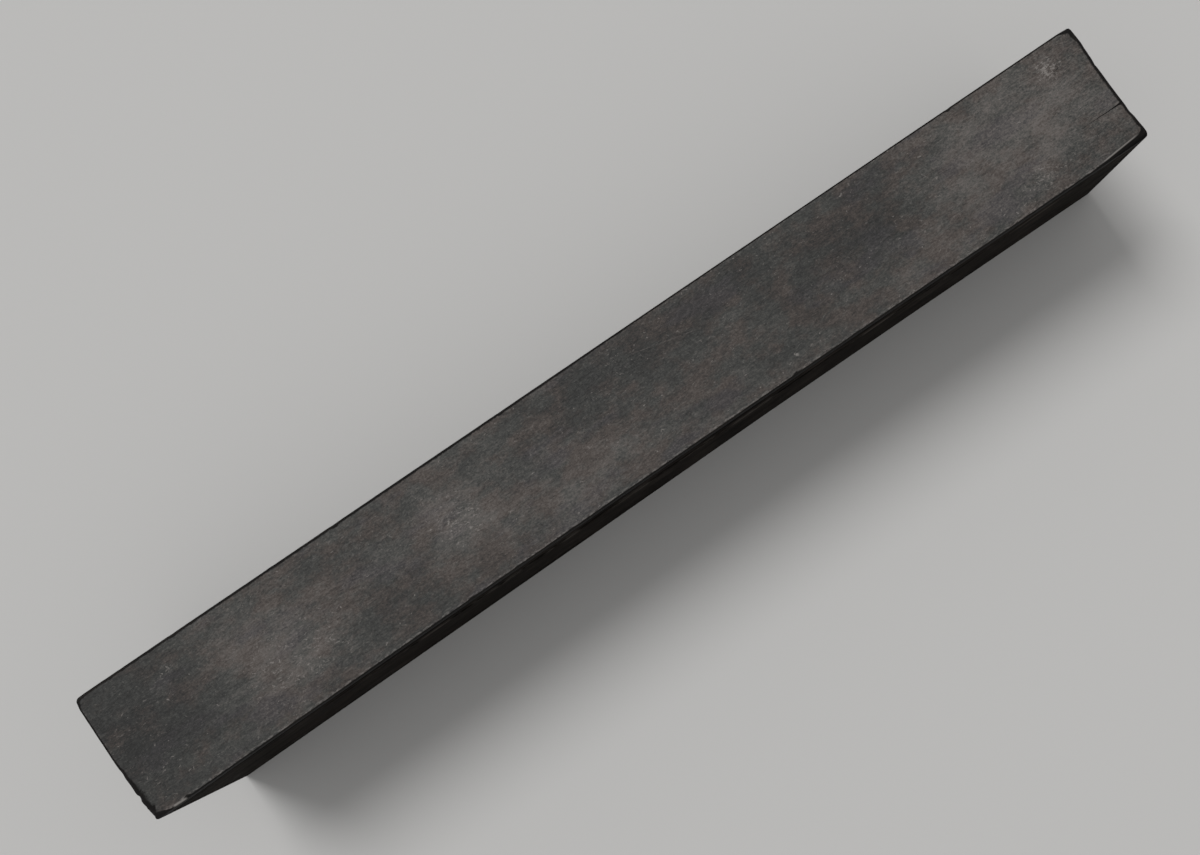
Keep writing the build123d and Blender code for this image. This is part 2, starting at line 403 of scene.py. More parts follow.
def worn_rim(f, wood, streaks, fibres, grit):
    """The wood with a pale line round the top, rubbed and partly a painted highlight, bare black
    outside it, and the bare share.
    """
    # the attribute rim is 0 on the sides and at the outline, and 1 where the flat top begins
    rim = f.attribute("rim") + (grit - 0.5) * 0.6
    # a pale line just inside the edge: rubbed wear, and, stronger along the front, a painted
    # highlight
    front = f.fall(f.y, -half_width + 1.5, -half_width + 3.0)
    near_edge = f.fall(f.attribute("inset") + (grit - 0.5) * 0.5, 0.45, 0.95)
    rubbed_and_highlight_line = near_edge * (0.40 + front * 0.60) * f.rise(fibres, 0.46, 0.60)
    wood = f.mix(rubbed_and_highlight_line * 0.35, wood, chalk_and_highlight)
    bare = f.fall(rim, 0.75, 1.15)
    bare_wood = f.mix(f.rise(streaks, 0.46, 0.70) * 0.6, ebony, ebony_brown)
    wood = f.mix(bare, wood, bare_wood)
    # painted highlight: thin pale lines along the rubbed upper edge, kept to its top
    upper = f.rise(f.z, case_height - 0.6, case_height - 0.25)
    for edge in highlit_rubbed_edges:
        wood = f.mix(f.line(f.x, f.y, *edge) * upper * 0.75, wood, chalk_and_highlight)
    return wood, bare


def top_finish():
    """Dark wood under a dull grey-brown patina, black where the edge is bare."""
    f = Finish("lid_top_wood", Specular_IOR_Level=0.2)
    streaks = f.noise(f.stretched(0.06, 1.6, 1.6), detail=6.0, roughness=0.62)
    fibres = f.noise(f.stretched(1.2, 3.6, 3.6), detail=5.0, roughness=0.68, distortion=0.6)
    mottle = f.noise(f.stretched(0.16, 0.26, 0.26), detail=9.0, roughness=0.72, distortion=0.3)
    grit = f.noise(f.place, scale=2.6, detail=4.0, roughness=0.75)
    bits = f.noise(f.stretched(1.1, 1.7, 1.7), detail=3.0, roughness=0.7, distortion=0.8)
    for centre, reach, strength in scuffs:
        bits = bits + f.spot(f.x, f.y, centre, reach) * strength
    specks = f.rise(bits, 0.60, 0.70)
    creases = f.noise(f.stretched(0.75, 1.0, 1.0), detail=4.0, roughness=0.6, distortion=1.2)
    creases = f.fall(abs(creases - 0.5), 0.0, 0.045)
    pits = f.rise(f.noise(f.stretched(1.2, 3.4, 3.4), detail=3.0, roughness=0.7), 0.66, 0.74)
    lines = f.most(*(f.line(f.x, f.y, *scratch) for scratch in scratches))
    lines = lines * f.rise(fibres, 0.38, 0.6)
    wood = patina(f, top_tone(f, streaks, fibres, mottle, grit, creases))
    wood = f.mix(pits * 0.55, wood, patina_deep)
    pale_marks = f.most(specks * f.rise(mottle, 0.44, 0.58) * 0.75, lines * 0.55)
    wood = f.mix(pale_marks, wood, dust_pale)
    wood = f.mix(f.rise(bits, 0.64, 0.76) * 0.6, wood, chalk_and_highlight)
    wood, bare = worn_rim(f, wood, streaks, fibres, grit)
    f.colour(wood)
    f.roughness(0.56 + (mottle - 0.5) * 0.35 + specks * 0.1 + bare * 0.3)
    height = streaks * 0.030 + fibres * 0.045 + grit * 0.050 + mottle * 0.06
    f.relief(height - lines * 0.02 - pits * 0.03 - creases * 0.02)
    return f.material


def chafed_edges(f, mottle, pores):
    """1 where handling has rubbed the seam, the foot and the upright corners."""
    near_end = f.rise(abs(f.x), half_length - 0.8, half_length - 0.1)
    near_side = f.rise(abs(f.y), half_width - 1.3, half_width - 0.4)
    near_outline = f.most(near_end, near_side)
    seam = f.fall(abs(f.z - seam_height), 0.15, 0.5) * near_outline
    foot = f.fall(f.z, 0.05, 0.35) * near_outline
    edge = f.most(seam * 0.9, foot * 0.5, near_end * near_side)
    return edge * f.rise(mottle + (pores - 0.5) * 0.6, 0.42, 0.62)


def case_finish(name, grain_runs_along_x=True):
    """Black-stained hardwood: pores along the grain, end grain across it, rubbed edges."""
    f = Finish(name, Specular_IOR_Level=0.008)
    facing_x, facing_y, facing_z = f.facing()
    if grain_runs_along_x:
        run, aside, facing = f.x, f.y, facing_x
    else:
        run, aside, facing = f.y, f.x, facing_y
    end_grain = f.rise(abs(facing), 0.6, 0.8)
    grain = f.noise(f.point(run * 0.04, aside * 1.1, f.z * 1.1), detail=6.0, roughness=0.62)
    pores = f.noise(f.point(run * 0.35, aside * 5.5, f.z * 5.5), detail=3.0, roughness=0.6)
    end_pores = f.noise(f.place, scale=5.0, detail=2.0, roughness=0.6)
    rings = f.noise(f.point(aside * 0.25, f.z * 1.4, run * 0.2), detail=4.0, roughness=0.6)
    grain = grain + (rings - grain) * end_grain
    pores = pores + (end_pores - pores) * end_grain
    mottle = f.noise(f.point(run * 0.10, aside * 0.22, f.z * 0.22), detail=5.0, roughness=0.6)
    clouds = f.noise(f.point(run * 0.05, aside * 0.09, f.z * 0.09), detail=4.0, roughness=0.62)
    wood = f.mix(f.rise(grain * 0.7 + mottle * 0.5, 0.45, 0.85), wall_black, wall_brown)
    aged = f.rise(clouds * 0.55 + mottle * 0.25 + grain * 0.3, 0.50, 0.78)
    aged = aged * (1 - end_grain * 0.6)
    wood = f.mix(aged * 0.45, wood, wall_patina)
    wood = f.mix(end_grain * 0.35, wood, wall_black)
    wood = f.mix(f.rise(pores, 0.60, 0.68) * 0.6, wood, wall_pore)
    dust = f.rise(mottle * pores, 0.29, 0.38)
    wood = f.mix(dust * 0.16, wood, rubbed_edge)
    chafed = chafed_edges(f, mottle, pores)
    f.colour(f.mix(chafed * 0.7, wood, rubbed_edge))
    f.roughness(0.78 + (mottle - 0.5) * 0.3 + chafed * 0.1)
    f.relief(grain * 0.04 + mottle * 0.03 - f.rise(pores, 0.6, 0.7) * 0.03)
    return f.material


def liner_finish():
    """Reddish brown hardwood, planed and waxed, for the thin boards inside."""
    f = Finish("liner_wood", Specular_IOR_Level=0.5)
    wave = f.noise(f.stretched(0.02, 0.3, 0.3), detail=2.0)
    wavy = f.point(f.x * 0.045 + wave * 2, f.y * 1.6, f.z * 1.6)
    grain = f.noise(wavy, detail=6.0, roughness=0.6)
    pores = f.rise(f.noise(f.stretched(0.4, 7.0, 7.0), detail=2.0), 0.6, 0.68)
    wood = f.mix(f.rise(grain, 0.3, 0.7), liner_dark, liner_light)
    f.colour(f.mix(pores * 0.6, wood, liner_pore))
    f.roughness(0.38 + (grain - 0.5) * 0.25)
    f.relief(grain * 0.02 - pores * 0.015)
    return f.material


def bamboo_finish():
    """Split bamboo, with dark fibre ends dotted all over it."""
    f = Finish("bamboo", Specular_IOR_Level=0.4)
    dots = f.field("ShaderNodeTexVoronoi", "Distance", {"Vector": f.place, "Scale": 6.0})
    fibre = f.fall(dots, 0.18, 0.34)
    shade = f.noise(f.stretched(2.0, 2.0, 0.2), detail=3.0)
    f.colour(f.mix(fibre * 0.8, f.mix(shade, bamboo_dark, bamboo_light), bamboo_fibre))
    f.roughness(0.5 + (shade - 0.5) * 0.2)
    f.relief(shade * 0.02 - fibre * 0.01)
    return f.material


def woven(f, along, across, pitch):
    """Warp and weft of a plain cloth: its height and a share that is 1 on the warp."""
    turn = math.tau / pitch
    warp = f.math("SINE", along * turn)
    weft = f.math("SINE", across * turn)
    crossing = warp * weft
    height = abs(warp) * 0.5 + abs(weft) * 0.5 + crossing * 0.3
    return height, f.rise(crossing, -0.3, 0.3)


def lattice(f, along, across, pitch):
    """A woven diaper of lozenges, each with a small knot in the middle."""
    first = f.math("PINGPONG", along * 0.5 + across, pitch)
    second = f.math("PINGPONG", along * 0.5 - across, pitch)
    lines = f.most(f.fall(first, 0.08, 0.18), f.fall(second, 0.08, 0.18))
    knots = f.rise(f.least(first, second), pitch * 0.62, pitch * 0.74)
    return f.most(lines, knots)


def silk_finish():
    """Old gold damask: a lozenge diaper in a lighter thread, faded and soiled in places."""
    f = Finish("silk", Sheen_Weight=0.35, Sheen_Roughness=0.4, Specular_IOR_Level=0.45)
    facing_x, facing_y, facing_z = f.facing()
    top = f.rise(abs(facing_z), 0.58, 0.62)
    end = f.rise(abs(facing_x), 0.58, 0.62)
    along = f.x + (f.z - f.x) * end
    across = f.z + (f.y - f.z) * f.most(top, end)
    height, warp = woven(f, along, across, cloth_pitch)
    figure = lattice(f, along, across, diaper_pitch)
    fade = f.noise(f.place, scale=0.12, detail=4.0, roughness=0.6)
    slub = f.noise(f.stretched(0.25, 3.0, 3.0), detail=2.0)
    cloth = f.mix(figure * 0.8, f.mix(warp, *silk_ground), f.mix(warp, *silk_figure))
    cloth = f.mix(f.rise(fade, 0.35, 0.75) * 0.45, cloth, silk_soiled)
    f.colour(f.mix(f.rise(slub, 0.6, 0.75) * 0.25, cloth, silk_slub))
    f.roughness(0.46 - figure * 0.14 + (fade - 0.5) * 0.2)
    f.relief(height * 0.035 + figure * 0.05 + slub * 0.02)
    return f.material


def cord_finish():
    """Twisted silk cord, a darker gold than the cloth."""
    f = Finish("silk_cord", Sheen_Weight=0.3, Specular_IOR_Level=0.45)
    fibre = f.noise(f.place, scale=4.5, detail=3.0, roughness=0.6)
    f.colour(f.mix(fibre, cord_dark, cord_light))
    f.roughness(0.42 + (fibre - 0.5) * 0.2)
    f.relief(fibre * 0.04)
    return f.material


def ribbon_finish():
    """Crimson corded ribbon with smooth selvedges and painted shade in its furrows, woven along its
    own length and width.
    """
    f = Finish("ribbon_silk", Sheen_Weight=0.12, Sheen_Roughness=0.35, Specular_IOR_Level=0.45)
    along, across = f.attribute("along"), f.attribute("across")
    selvedge = f.rise(abs(across), selvedge_from, selvedge_to)
    rib = f.math("SINE", along * (math.tau / rib_pitch))
    warp = f.math("SINE", across * (math.tau / ribbon_warp_pitch))
    fade = f.noise(f.place, scale=0.3, detail=4.0)
    # painted shade: a darker colour in the furrows between the ribs
    body = f.mix(f.rise(rib, -0.9, 0.7), ribbon_furrow_shade, ribbon_rib)
    body = f.mix(f.rise(warp, 0.2, 1.0) * 0.2, body, ribbon_warp)
    body = f.mix(f.rise(fade, 0.5, 0.75) * 0.3, body, ribbon_faded)
    f.colour(f.mix(selvedge * 0.6, body, ribbon_selvedge))
    f.roughness(0.48 - f.rise(rib, 0.0, 1.0) * 0.12 + (fade - 0.5) * 0.15)
    f.relief((rib * 0.5 + 0.5) * 0.045 * (1 - selvedge) + warp * 0.006)
    return f.material


def ink_finish():
    """Moulded ink: black with a dull satin skin, fine cracks and a little dust in patches."""
    f = Finish("ink", Specular_IOR_Level=0.5, Coat_Weight=0.12, Coat_Roughness=0.3)
    skin = f.noise(f.place, scale=0.35, detail=5.0, roughness=0.6)
    grain = f.noise(f.place, scale=3.5, detail=3.0, roughness=0.6)
    feeds = {"Vector": f.stretched(0.10, 0.26, 0.26), "Scale": 1.0}
    cells = f.field("ShaderNodeTexVoronoi", "Distance", feeds, feature="DISTANCE_TO_EDGE")
    crack = f.fall(cells, 0.0, 0.012) * f.rise(skin, 0.5, 0.62)
    body = f.mix(f.rise(skin, 0.3, 0.75), ink_black, ink_worn)
    f.colour(f.mix(f.rise(grain * skin, 0.33, 0.42) * 0.35, body, ink_dust))
    f.roughness(0.36 + (skin - 0.5) * 0.3 + crack * 0.2)
    f.relief(skin * 0.05 + grain * 0.008 - crack * 0.06)
    return f.material


def gilt_finish():
    """Gold leaf on the moulded relief, thin and rubbed through to the black in places."""
    f = Finish("gilt", Specular_IOR_Level=0.5)
    patch = f.noise(f.place, scale=0.45, detail=5.0, roughness=0.62)
    grain = f.noise(f.place, scale=4.0, detail=3.0, roughness=0.6)
    rubbed = f.rise(patch + (grain - 0.5) * 0.5, 0.60, 0.68)
    gold = f.mix(f.rise(grain, 0.3, 0.7), gold_deep, gold_light)
    f.colour(f.mix(rubbed, gold, gold_rubbed_through))
    f.metal(1 - rubbed)
    f.roughness(0.34 + (grain - 0.5) * 0.25 + rubbed * 0.1)
    f.relief(grain * 0.015 - rubbed * 0.01)
    return f.material


def floor_finish():
    """Plain pale ground."""
    f = Finish("floor", Roughness=0.9)
    f.shader.inputs["Base Color"].default_value = (*floor_colour, 1.0)
    return f.material


finishes = {
    "lid_top_wood": top_finish(),
    "case_wood": case_finish("case_wood"),
    "end_wall_wood": case_finish("end_wall_wood", grain_runs_along_x=False),
    "liner_wood": liner_finish(),
    "bamboo": bamboo_finish(),
    "silk": silk_finish(),
    "silk_cord": cord_finish(),
    "ribbon_silk": ribbon_finish(),
    "ink": ink_finish(),
    "gilt": gilt_finish(),
}


# Making pieces

def new_object(name, data):
    """An object at the origin with this mesh, curve, lamp or camera."""
    piece = bpy.data.objects.new(name, data)
    bpy.context.scene.collection.objects.link(piece)
    return piece


def mesh_object(name, points, faces):
    """An object from points in millimetres."""
    mesh = bpy.data.meshes.new(name)
    mesh.from_pydata([tuple(Vector(p) * MM) for p in points], [], faces)
    mesh.update()
    return new_object(name, mesh)


def merged_copy(node, name):
    """A copy of a CAD node's mesh as one closed surface with flat faces joined again."""
    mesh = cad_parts[node].data.copy()
    shell = bmesh.new()
    shell.from_mesh(mesh)
    bmesh.ops.remove_doubles(shell, verts=shell.verts, dist=0.002 * MM)
    bmesh.ops.dissolve_limit(
        shell, angle_limit=math.radians(0.5), verts=shell.verts, edges=shell.edges
    )
    shell.to_mesh(mesh)
    shell.free()
    mesh.name = name
    return new_object(name, mesh)


def apply_modifiers(piece):
    """Turns what the modifiers make into the piece's own mesh."""
    graph = bpy.context.evaluated_depsgraph_get()
    mesh = bpy.data.meshes.new_from_object(
        piece.evaluated_get(graph), preserve_all_data_layers=True, depsgraph=graph
    )
    piece.modifiers.clear()
    old = piece.data
    piece.data = mesh
    bpy.data.meshes.remove(old)
    return piece


def smooth(piece, angle=35):
    """Smooth shading, with creases sharper than the angle kept."""
    piece.data.shade_smooth()
    piece.data.set_sharp_from_angle(angle=math.radians(angle))


def outward(piece):
    """Turns all faces outwards."""
    shell = bmesh.new()
    shell.from_mesh(piece.data)
    bmesh.ops.recalc_face_normals(shell, faces=shell.faces)
    shell.to_mesh(piece.data)
    shell.free()


def points_of(piece):
    """The piece's points in metres, one row each."""
    points = np.empty(len(piece.data.vertices) * 3)
    piece.data.vertices.foreach_get("co", points)
    return points.reshape(-1, 3)


def set_points(piece, points):
    """Moves the piece's points to these places, in metres."""
    piece.data.vertices.foreach_set("co", np.ascontiguousarray(points, dtype=np.float32).ravel())
    piece.data.update()


def grid_faces(columns, rows):
    """Faces of a grid of points that runs row by row within each column."""
    across = rows + 1
    return [
        (a, a + 1, a + across + 1, a + across)
        for column in range(columns)
        for a in range(column * across, column * across + rows)
    ]


def dressed(piece, slot, body, *nodes, finish=None):
    """Gives a piece its material, its body and the CAD nodes that it stands for."""
    piece.data.materials.clear()
    piece.data.materials.append(finishes[finish or slot])
    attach(piece, body)
    if nodes:
        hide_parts(*nodes)
    return piece


socket_kinds = {
    "float": "NodeSocketFloat",
    "count": "NodeSocketInt",
    "object": "NodeSocketObject",
    "material": "NodeSocketMaterial",
}


class ShapeTree(Graph):
    def __init__(self, name, **inputs):
        super().__init__(bpy.data.node_groups.new(name, "GeometryNodeTree"))
        interface = self.tree.interface
        interface.new_socket("Shape", in_out="OUTPUT", socket_type="NodeSocketGeometry")
        for label, kind in dict(inputs, Material="material").items():
            interface.new_socket(
                label.replace("_", " "), in_out="INPUT", socket_type=socket_kinds[kind]
            )
        self.start = self.tree.nodes.new("NodeGroupInput")
        self.end = self.tree.nodes.new("NodeGroupOutput")

    def given(self, label):
        return Field(self, self.start.outputs[label])

    def shape_of(self, label):
        """The shape of the object that is given under this label."""
        return self.field("GeometryNodeObjectInfo", "Geometry", {"Object": self.given(label)})

    def moved(self, shape, **feeds):
        feeds["Geometry"] = shape
        return self.field("GeometryNodeSetPosition", "Geometry", feeds)

    def transformed(self, shape, **feeds):
        feeds["Geometry"] = shape
        return self.field("GeometryNodeTransform", "Geometry", feeds)

    def stored(self, shape, name, value):
        feeds = {"Geometry": shape, "Name": name, "Value": value}
        return self.field(
            "GeometryNodeStoreNamedAttribute", "Geometry", feeds, data_type="FLOAT", domain="POINT"
        )

    def row(self, count, start, pitch):
        """Points in a row along X."""
        feeds = {"Count": count, "Start Location": start, "Offset": self.point(pitch, 0.0, 0.0)}
        return self.field("GeometryNodeMeshLine", "Mesh", feeds, mode="OFFSET")

    def random(self, seed, low=0.0, high=1.0):
        """A number that differs from copy to copy."""
        node = self.node("FunctionNodeRandomValue", {"Seed": seed}, data_type="FLOAT")
        self.feed(node.inputs[2], low)
        self.feed(node.inputs[3], high)
        return Field(self, node.outputs[1])

    def copies(self, shape, points, **feeds):
        """A copy of a shape on each point."""
        feeds.update(Points=points, Instance=shape)
        return self.field("GeometryNodeInstanceOnPoints", "Instances", feeds)

    def resampled(self, path, count):
        feeds = {"Curve": path, "Count": count}
        return self.field("GeometryNodeResampleCurve", "Curve", feeds)

    def circle(self, radius):
        """A round section, as an eight-sided curve."""
        feeds = {"Resolution": 8, "Radius": radius}
        return self.field("GeometryNodeCurvePrimitiveCircle", "Curve", feeds)

    def swept(self, path, section, **feeds):
        """A section carried along a path."""
        feeds = {label.replace("_", " "): value for label, value in feeds.items()}
        feeds.update({"Curve": path, "Profile Curve": section})
        return self.field("GeometryNodeCurveToMesh", "Mesh", feeds)

    def sphere(self, radius, segments, rings):
        feeds = {"Segments": segments, "Rings": rings, "Radius": radius}
        return self.field("GeometryNodeMeshUVSphere", "Mesh", feeds)

    def joined(self, *shapes):
        node = self.node("GeometryNodeJoinGeometry")
        for shape in shapes:
            self.tree.links.new(shape.socket, node.inputs[0])
        return Field(self, node.outputs[0])

    def finish(self, shape):
        """Realizes the copies, scales them from millimetres to metres and sets the finish."""
        real = self.field("GeometryNodeRealizeInstances", "Geometry", {"Geometry": shape})
        scaled = self.transformed(real, Scale=(MM, MM, MM))
        feeds = {"Geometry": scaled, "Material": self.given("Material")}
        done = self.field("GeometryNodeSetMaterial", "Geometry", feeds)
        self.tree.links.new(done.socket, self.end.inputs[0])
        return self.tree


def grown(name, tree, finish, **values):
    """Runs a shape tree with these inputs and returns what it makes as a plain mesh piece."""
    piece = new_object(name, bpy.data.meshes.new(name))
    modifier = piece.modifiers.new("shape", "NODES")
    modifier.node_group = tree
    given = {label.replace("_", " "): value for label, value in values.items()}
    given["Material"] = finishes[finish]
    for item in tree.interface.items_tree:
        if item.item_type == "SOCKET" and item.in_out == "INPUT":
            modifier[item.identifier] = given[item.name]
    return apply_modifiers(piece)


# The lid's top board
board_corner = 0.9
board_arris = 0.3
board_wear = 0.3
front_hollow = 0.6
end_hollow = 0.6
end_hollow_from = 96.0      # where the hollow of the right end begins
board_mesh = (441, 61, 9)   # points along, across and through
evenness = 0.35             # share of even spacing in the board's mesh, the rest crowds the edges
swell_depth = 0.10          # how far the top is from flat, over its length
dent_depth = 0.05           # and in small places
worn_length = 17.0          # the rubbed corner at the front right
worn_width = 1.8
worn_depth = 1.5
worn_blend = 0.3            # how softly that corner runs into the top

# Nicks in the top's outline: place, size, reach
nicks = (
    ((-120, 14.1), 0.45, 2.6),
    ((-120, -14.1), 1.2, 4.6),
    ((120, 14.1), 0.9, 4.2),
    ((-120, -8.6), 0.7, 0.8),
    ((-120, -3.0), 0.3, 1.5),
    ((-112, -13.8), 0.35, 1.2),
    ((-98, 13.8), 0.35, 0.8),
    ((-61, 13.8), 0.30, 1.2),
    ((-22, 13.8), 0.40, 0.7),
    ((-47, -13.8), 0.20, 0.8),
    ((31, -13.5), 0.22, 1.3),
    ((88, 13.8), 0.35, 1.0),
    ((120, 4.5), 0.35, 1.0),
    ((120, -7.5), 0.40, 1.4),
)

# The check along the grain at the board's right end
check_start = (108.8, -5.3)
check_depth = 1.3
check_steps = 12
check_over = 0.3            # how far the cutter stands above the board

tiny = 1e-6                 # keeps a division from meeting zero
touching = 1e-5             # less than this counts as nothing


def crowded(g, value, half):
    """Brings evenly spaced lines of the mesh closer together near the board's edges."""
    share = value / half
    even = share * evenness
    return half * (even + g.math("SINE", share * (math.pi / 2)) * (1 - evenness))


def rounded_corners(g, x, y, half_x, half_y):
    """The place once the upright corners are round, and the direction outwards there."""
    corner = g.given("Corner")
    limit_x, limit_y = half_x - corner, half_y - corner
    out_x = x - g.within(x, -limit_x, limit_x)
    out_y = y - g.within(y, -limit_y, limit_y)
    square = g.most(abs(out_x), abs(out_y))
    round_out = g.most(g.length(out_x, out_y), tiny)
    away_x, away_y = out_x / round_out, out_y / round_out
    return x - out_x + away_x * square, y - out_y + away_y * square, away_x, away_y


def arris_radius(g, x, y, half_x, half_y):
    """The radius of the upper arris: it varies along the outline and grows at nicks."""
    spot = g.point(x, y, 0.0)
    ripple = g.noise(spot, scale=0.45, detail=3.0, roughness=0.6)
    chips = g.rise(g.noise(spot, scale=0.9, detail=3.0, roughness=0.65), 0.60, 0.80)
    from_end = half_x - abs(x)
    from_side = half_y - abs(y)
    nearer_end = g.rise(from_side - from_end, -0.4, 0.4)
    back = g.rise(y, half_y - 3.0, half_y - 1.0) * (0.1 + g.fall(x, -30.0, 30.0) * 0.5)
    right = g.math("GREATER_THAN", x, 0.0) * nearer_end * 1.2
    left = g.math("LESS_THAN", x, 0.0) * nearer_end * 0.2
    edge_share = 0.5 + g.most(back, right, left)
    radius = g.given("Arris") * edge_share * (0.55 + ripple * 0.9)
    radius = radius + g.given("Wear") * chips * edge_share * 0.5
    for centre, deeper, reach in nicks:
        radius = radius + g.spot(x, y, centre, (reach, reach)) * deeper
    return radius + left * g.fall(y, -13.0, 1.0) * (1.6 + ripple * 6.0)


def hollows(g, x, y, half_x, half_y):
    """How far the right end and the front side stand back from straight."""
    middle = 1 - (x / half_x) * (x / half_x)
    toward_front = (half_y - y) / (half_y * 2)
    front = g.given("Front hollow") * middle * toward_front * toward_front
    across_middle = 1 - (y / half_y) * (y / half_y)
    end = g.given("End hollow") * across_middle * g.rise(x, end_hollow_from, half_length)
    return end, front


def rounded_over(g, radius, inset, below):
    """How far a point near the upper edge moves outwards and up to follow the radius."""
    over = g.most(radius - inset, 0.0)
    under = g.most(radius - below, 0.0)
    reach = g.most(g.length(over, under), tiny)
    out = (radius * over / reach - over) * g.math("GREATER_THAN", under, touching)
    up = (radius * under / reach - under) * g.math("GREATER_THAN", over, touching)
    return out, up


def worn_top(g, x, y, half_x, half_y, below):
    """The depth below a top that is not quite flat, and where its front corner is rubbed away."""
    swell = g.noise(g.point(x * 0.02, y * 0.08, 0.0), detail=2.0) - 0.5
    dents = g.noise(g.point(x, y, 0.0), scale=0.30, detail=4.0, roughness=0.6) - 0.5
    on_top = g.fall(below, 0.0, 1.2)
    below = below + (swell * swell_depth + dents * dent_depth + 0.04) * on_top
    slant_x = (half_x - x) / worn_length
    slant_y = (y + half_y) / worn_width
    slant = worn_depth * (1 - slant_x - slant_y) + dents * 0.35
    below = g.math("SMOOTH_MAX", below, slant * on_top, worn_blend)
    return below, g.rise(slant, -0.15, 0.1)


def worn_board_tree():
    """A board with a hollow front and right end, rounded and rubbed along its upper edges."""
    g = ShapeTree(
        "worn_board",
        Length="float",
        Width="float",
        Thickness="float",
        Underside="float",
        Front_hollow="float",
        End_hollow="float",
        Corner="float",
        Arris="float",
        Wear="float",
    )
    half_x, half_y = g.given("Length") / 2, g.given("Width") / 2
    thickness = g.given("Thickness")
    feeds = {"Size": g.point(g.given("Length"), g.given("Width"), thickness)}
    feeds.update(zip(("Vertices X", "Vertices Y", "Vertices Z"), board_mesh))
    block = g.field("GeometryNodeMeshCube", "Mesh", feeds)
    x, y, z = g.parts(g.field("GeometryNodeInputPosition", "Position"))
    x, y = crowded(g, x, half_x), crowded(g, y, half_y)
    below = (thickness / 2 - z) / thickness
    below = below * below * thickness
    inset = g.least(half_x - abs(x), half_y - abs(y))
    x, y, away_x, away_y = rounded_corners(g, x, y, half_x, half_y)
    radius = arris_radius(g, x, y, half_x, half_y)
    out, up = rounded_over(g, radius, inset, below)
    x, y, below = x + away_x * out, y + away_y * out, below - up
    end, front = hollows(g, x, y, half_x, half_y)
    x, y = x - end, y + front
    below, rubbed = worn_top(g, x, y, half_x, half_y, below)
    height = g.given("Underside") + thickness - g.within(below, 0.0, thickness)
    rim = inset / (radius * 1.6 + 0.1) * (1 - rubbed)
    # fields are read where they are used, so both are stored before the points move
    board = g.stored(g.stored(block, "inset", inset), "rim", rim)
    return g.finish(g.moved(board, Position=g.point(x, y, height)))


def check_cutter():
    end = half_length + 1
    top = case_height + check_over
    points, faces = [], []
    for i in range(check_steps + 1):
        share = i / check_steps
        x = check_start[0] + (end - check_start[0]) * share
        y = check_start[1] + 0.10 * share + 0.10 * math.sin(7 * share) * (1 - share)
        gap = 0.05 + 0.07 * share
        low = case_height - check_depth * (0.35 + 0.65 * share)
        points += [(x, y - gap / 2, top), (x, y + gap / 2, top), (x, y, low)]
    for a in range(0, 3 * check_steps, 3):
        b = a + 3
        faces += [(a, b, b + 1, a + 1), (a, a + 2, b + 2, b), (a + 1, b + 1, b + 2, a + 2)]
    last = 3 * check_steps
    faces += [(0, 1, 2), (last, last + 2, last + 1)]
    cutter = mesh_object("check_cutter", points, faces)
    outward(cutter)
    return cutter


def top_board():
    """The board that closes the case from above."""
    board = grown(
        "lid_top_board",
        worn_board_tree(),
        "lid_top_wood",
        Length=case_length,
        Width=case_width,
        Thickness=float(board_high[2] - board_low[2]),
        Underside=float(board_low[2]),
        Front_hollow=front_hollow,
        End_hollow=end_hollow,
        Corner=board_corner,
        Arris=board_arris,
        Wear=board_wear,
    )
    cutter = check_cutter()
    cut = board.modifiers.new("check", "BOOLEAN")
    cut.operation = "DIFFERENCE"
    cut.solver = "EXACT"
    cut.object = cutter
    apply_modifiers(board)
    bpy.data.objects.remove(cutter)
    smooth(board, 50)
    return dressed(board, "lid_top_wood", "lid", "lid_board")


top_board()


# Boards
edge_ease = 0.14
lip_ease = 0.08


def eased_board(name, node, slot, body, ease=edge_ease, finish=None):
    """A board as its CAD solid, with every sharp edge eased a little."""
    piece = merged_copy(node, name)
    bevel = piece.modifiers.new("ease", "BEVEL")
    bevel.width = ease * MM
    bevel.segments = 2
    bevel.limit_method = "ANGLE"
    bevel.angle_limit = math.radians(40)
    bevel.use_clamp_overlap = True
    apply_modifiers(piece)
    smooth(piece, 35)
    return dressed(piece, slot, body, node, finish=finish)


eased_board("bottom_board", "floor_board", "case_wood", "base")
for side in ("front", "back", "left", "right"):
    wood = "case_wood" if side in ("front", "back") else "end_wall_wood"
    eased_board(side + "_board", side + "_wall", "case_wood", "base", finish=wood)
    eased_board("lid_" + side + "_strip", "lid_" + side + "_rim", "case_wood", "lid", finish=wood)
    eased_board(side + "_lip", side + "_liner", "liner_wood", "base", lip_ease)


# Nails and pegs
pin_radius = 0.6
pin_sides = 8
pin_turn_seed = 7
nail_length = 8.0
nail_stations = (-100, -50, 0, 50, 100)
end_nail = 118.3            # from the middle of the case to the nail in each end wall
peg_length = 3.0
peg_stations = (-75, -25, 25, 75)
peg_foot = 31.4
pin_line = half_width - 1.7     # the middle of the long walls and of the lid's long strips


def pin_tree():
    """Split bamboo pins on a set of points: slightly tapered, each turned its own way."""
    g = ShapeTree("pins", Places="object", Radius="float", Depth="float", Sides="count")
    feeds = {
        "Vertices": g.given("Sides"),
        "Side Segments": 3,
        "Radius Top": g.given("Radius") * 0.9,
        "Radius Bottom": g.given("Radius"),
        "Depth": g.given("Depth"),
    }
    pin = g.field("GeometryNodeMeshCone", "Mesh", feeds)
    turn = g.point(0.0, 0.0, g.random(pin_turn_seed) * math.tau)
    return g.finish(g.copies(pin, g.shape_of("Places"), Rotation=turn))


def pin_points(name, rows):
    """Points for the pins to stand on, kept in millimetres until the tree scales them."""
    mesh = bpy.data.meshes.new(name)
    mesh.from_pydata(rows, [], [])
    return new_object(name, mesh)


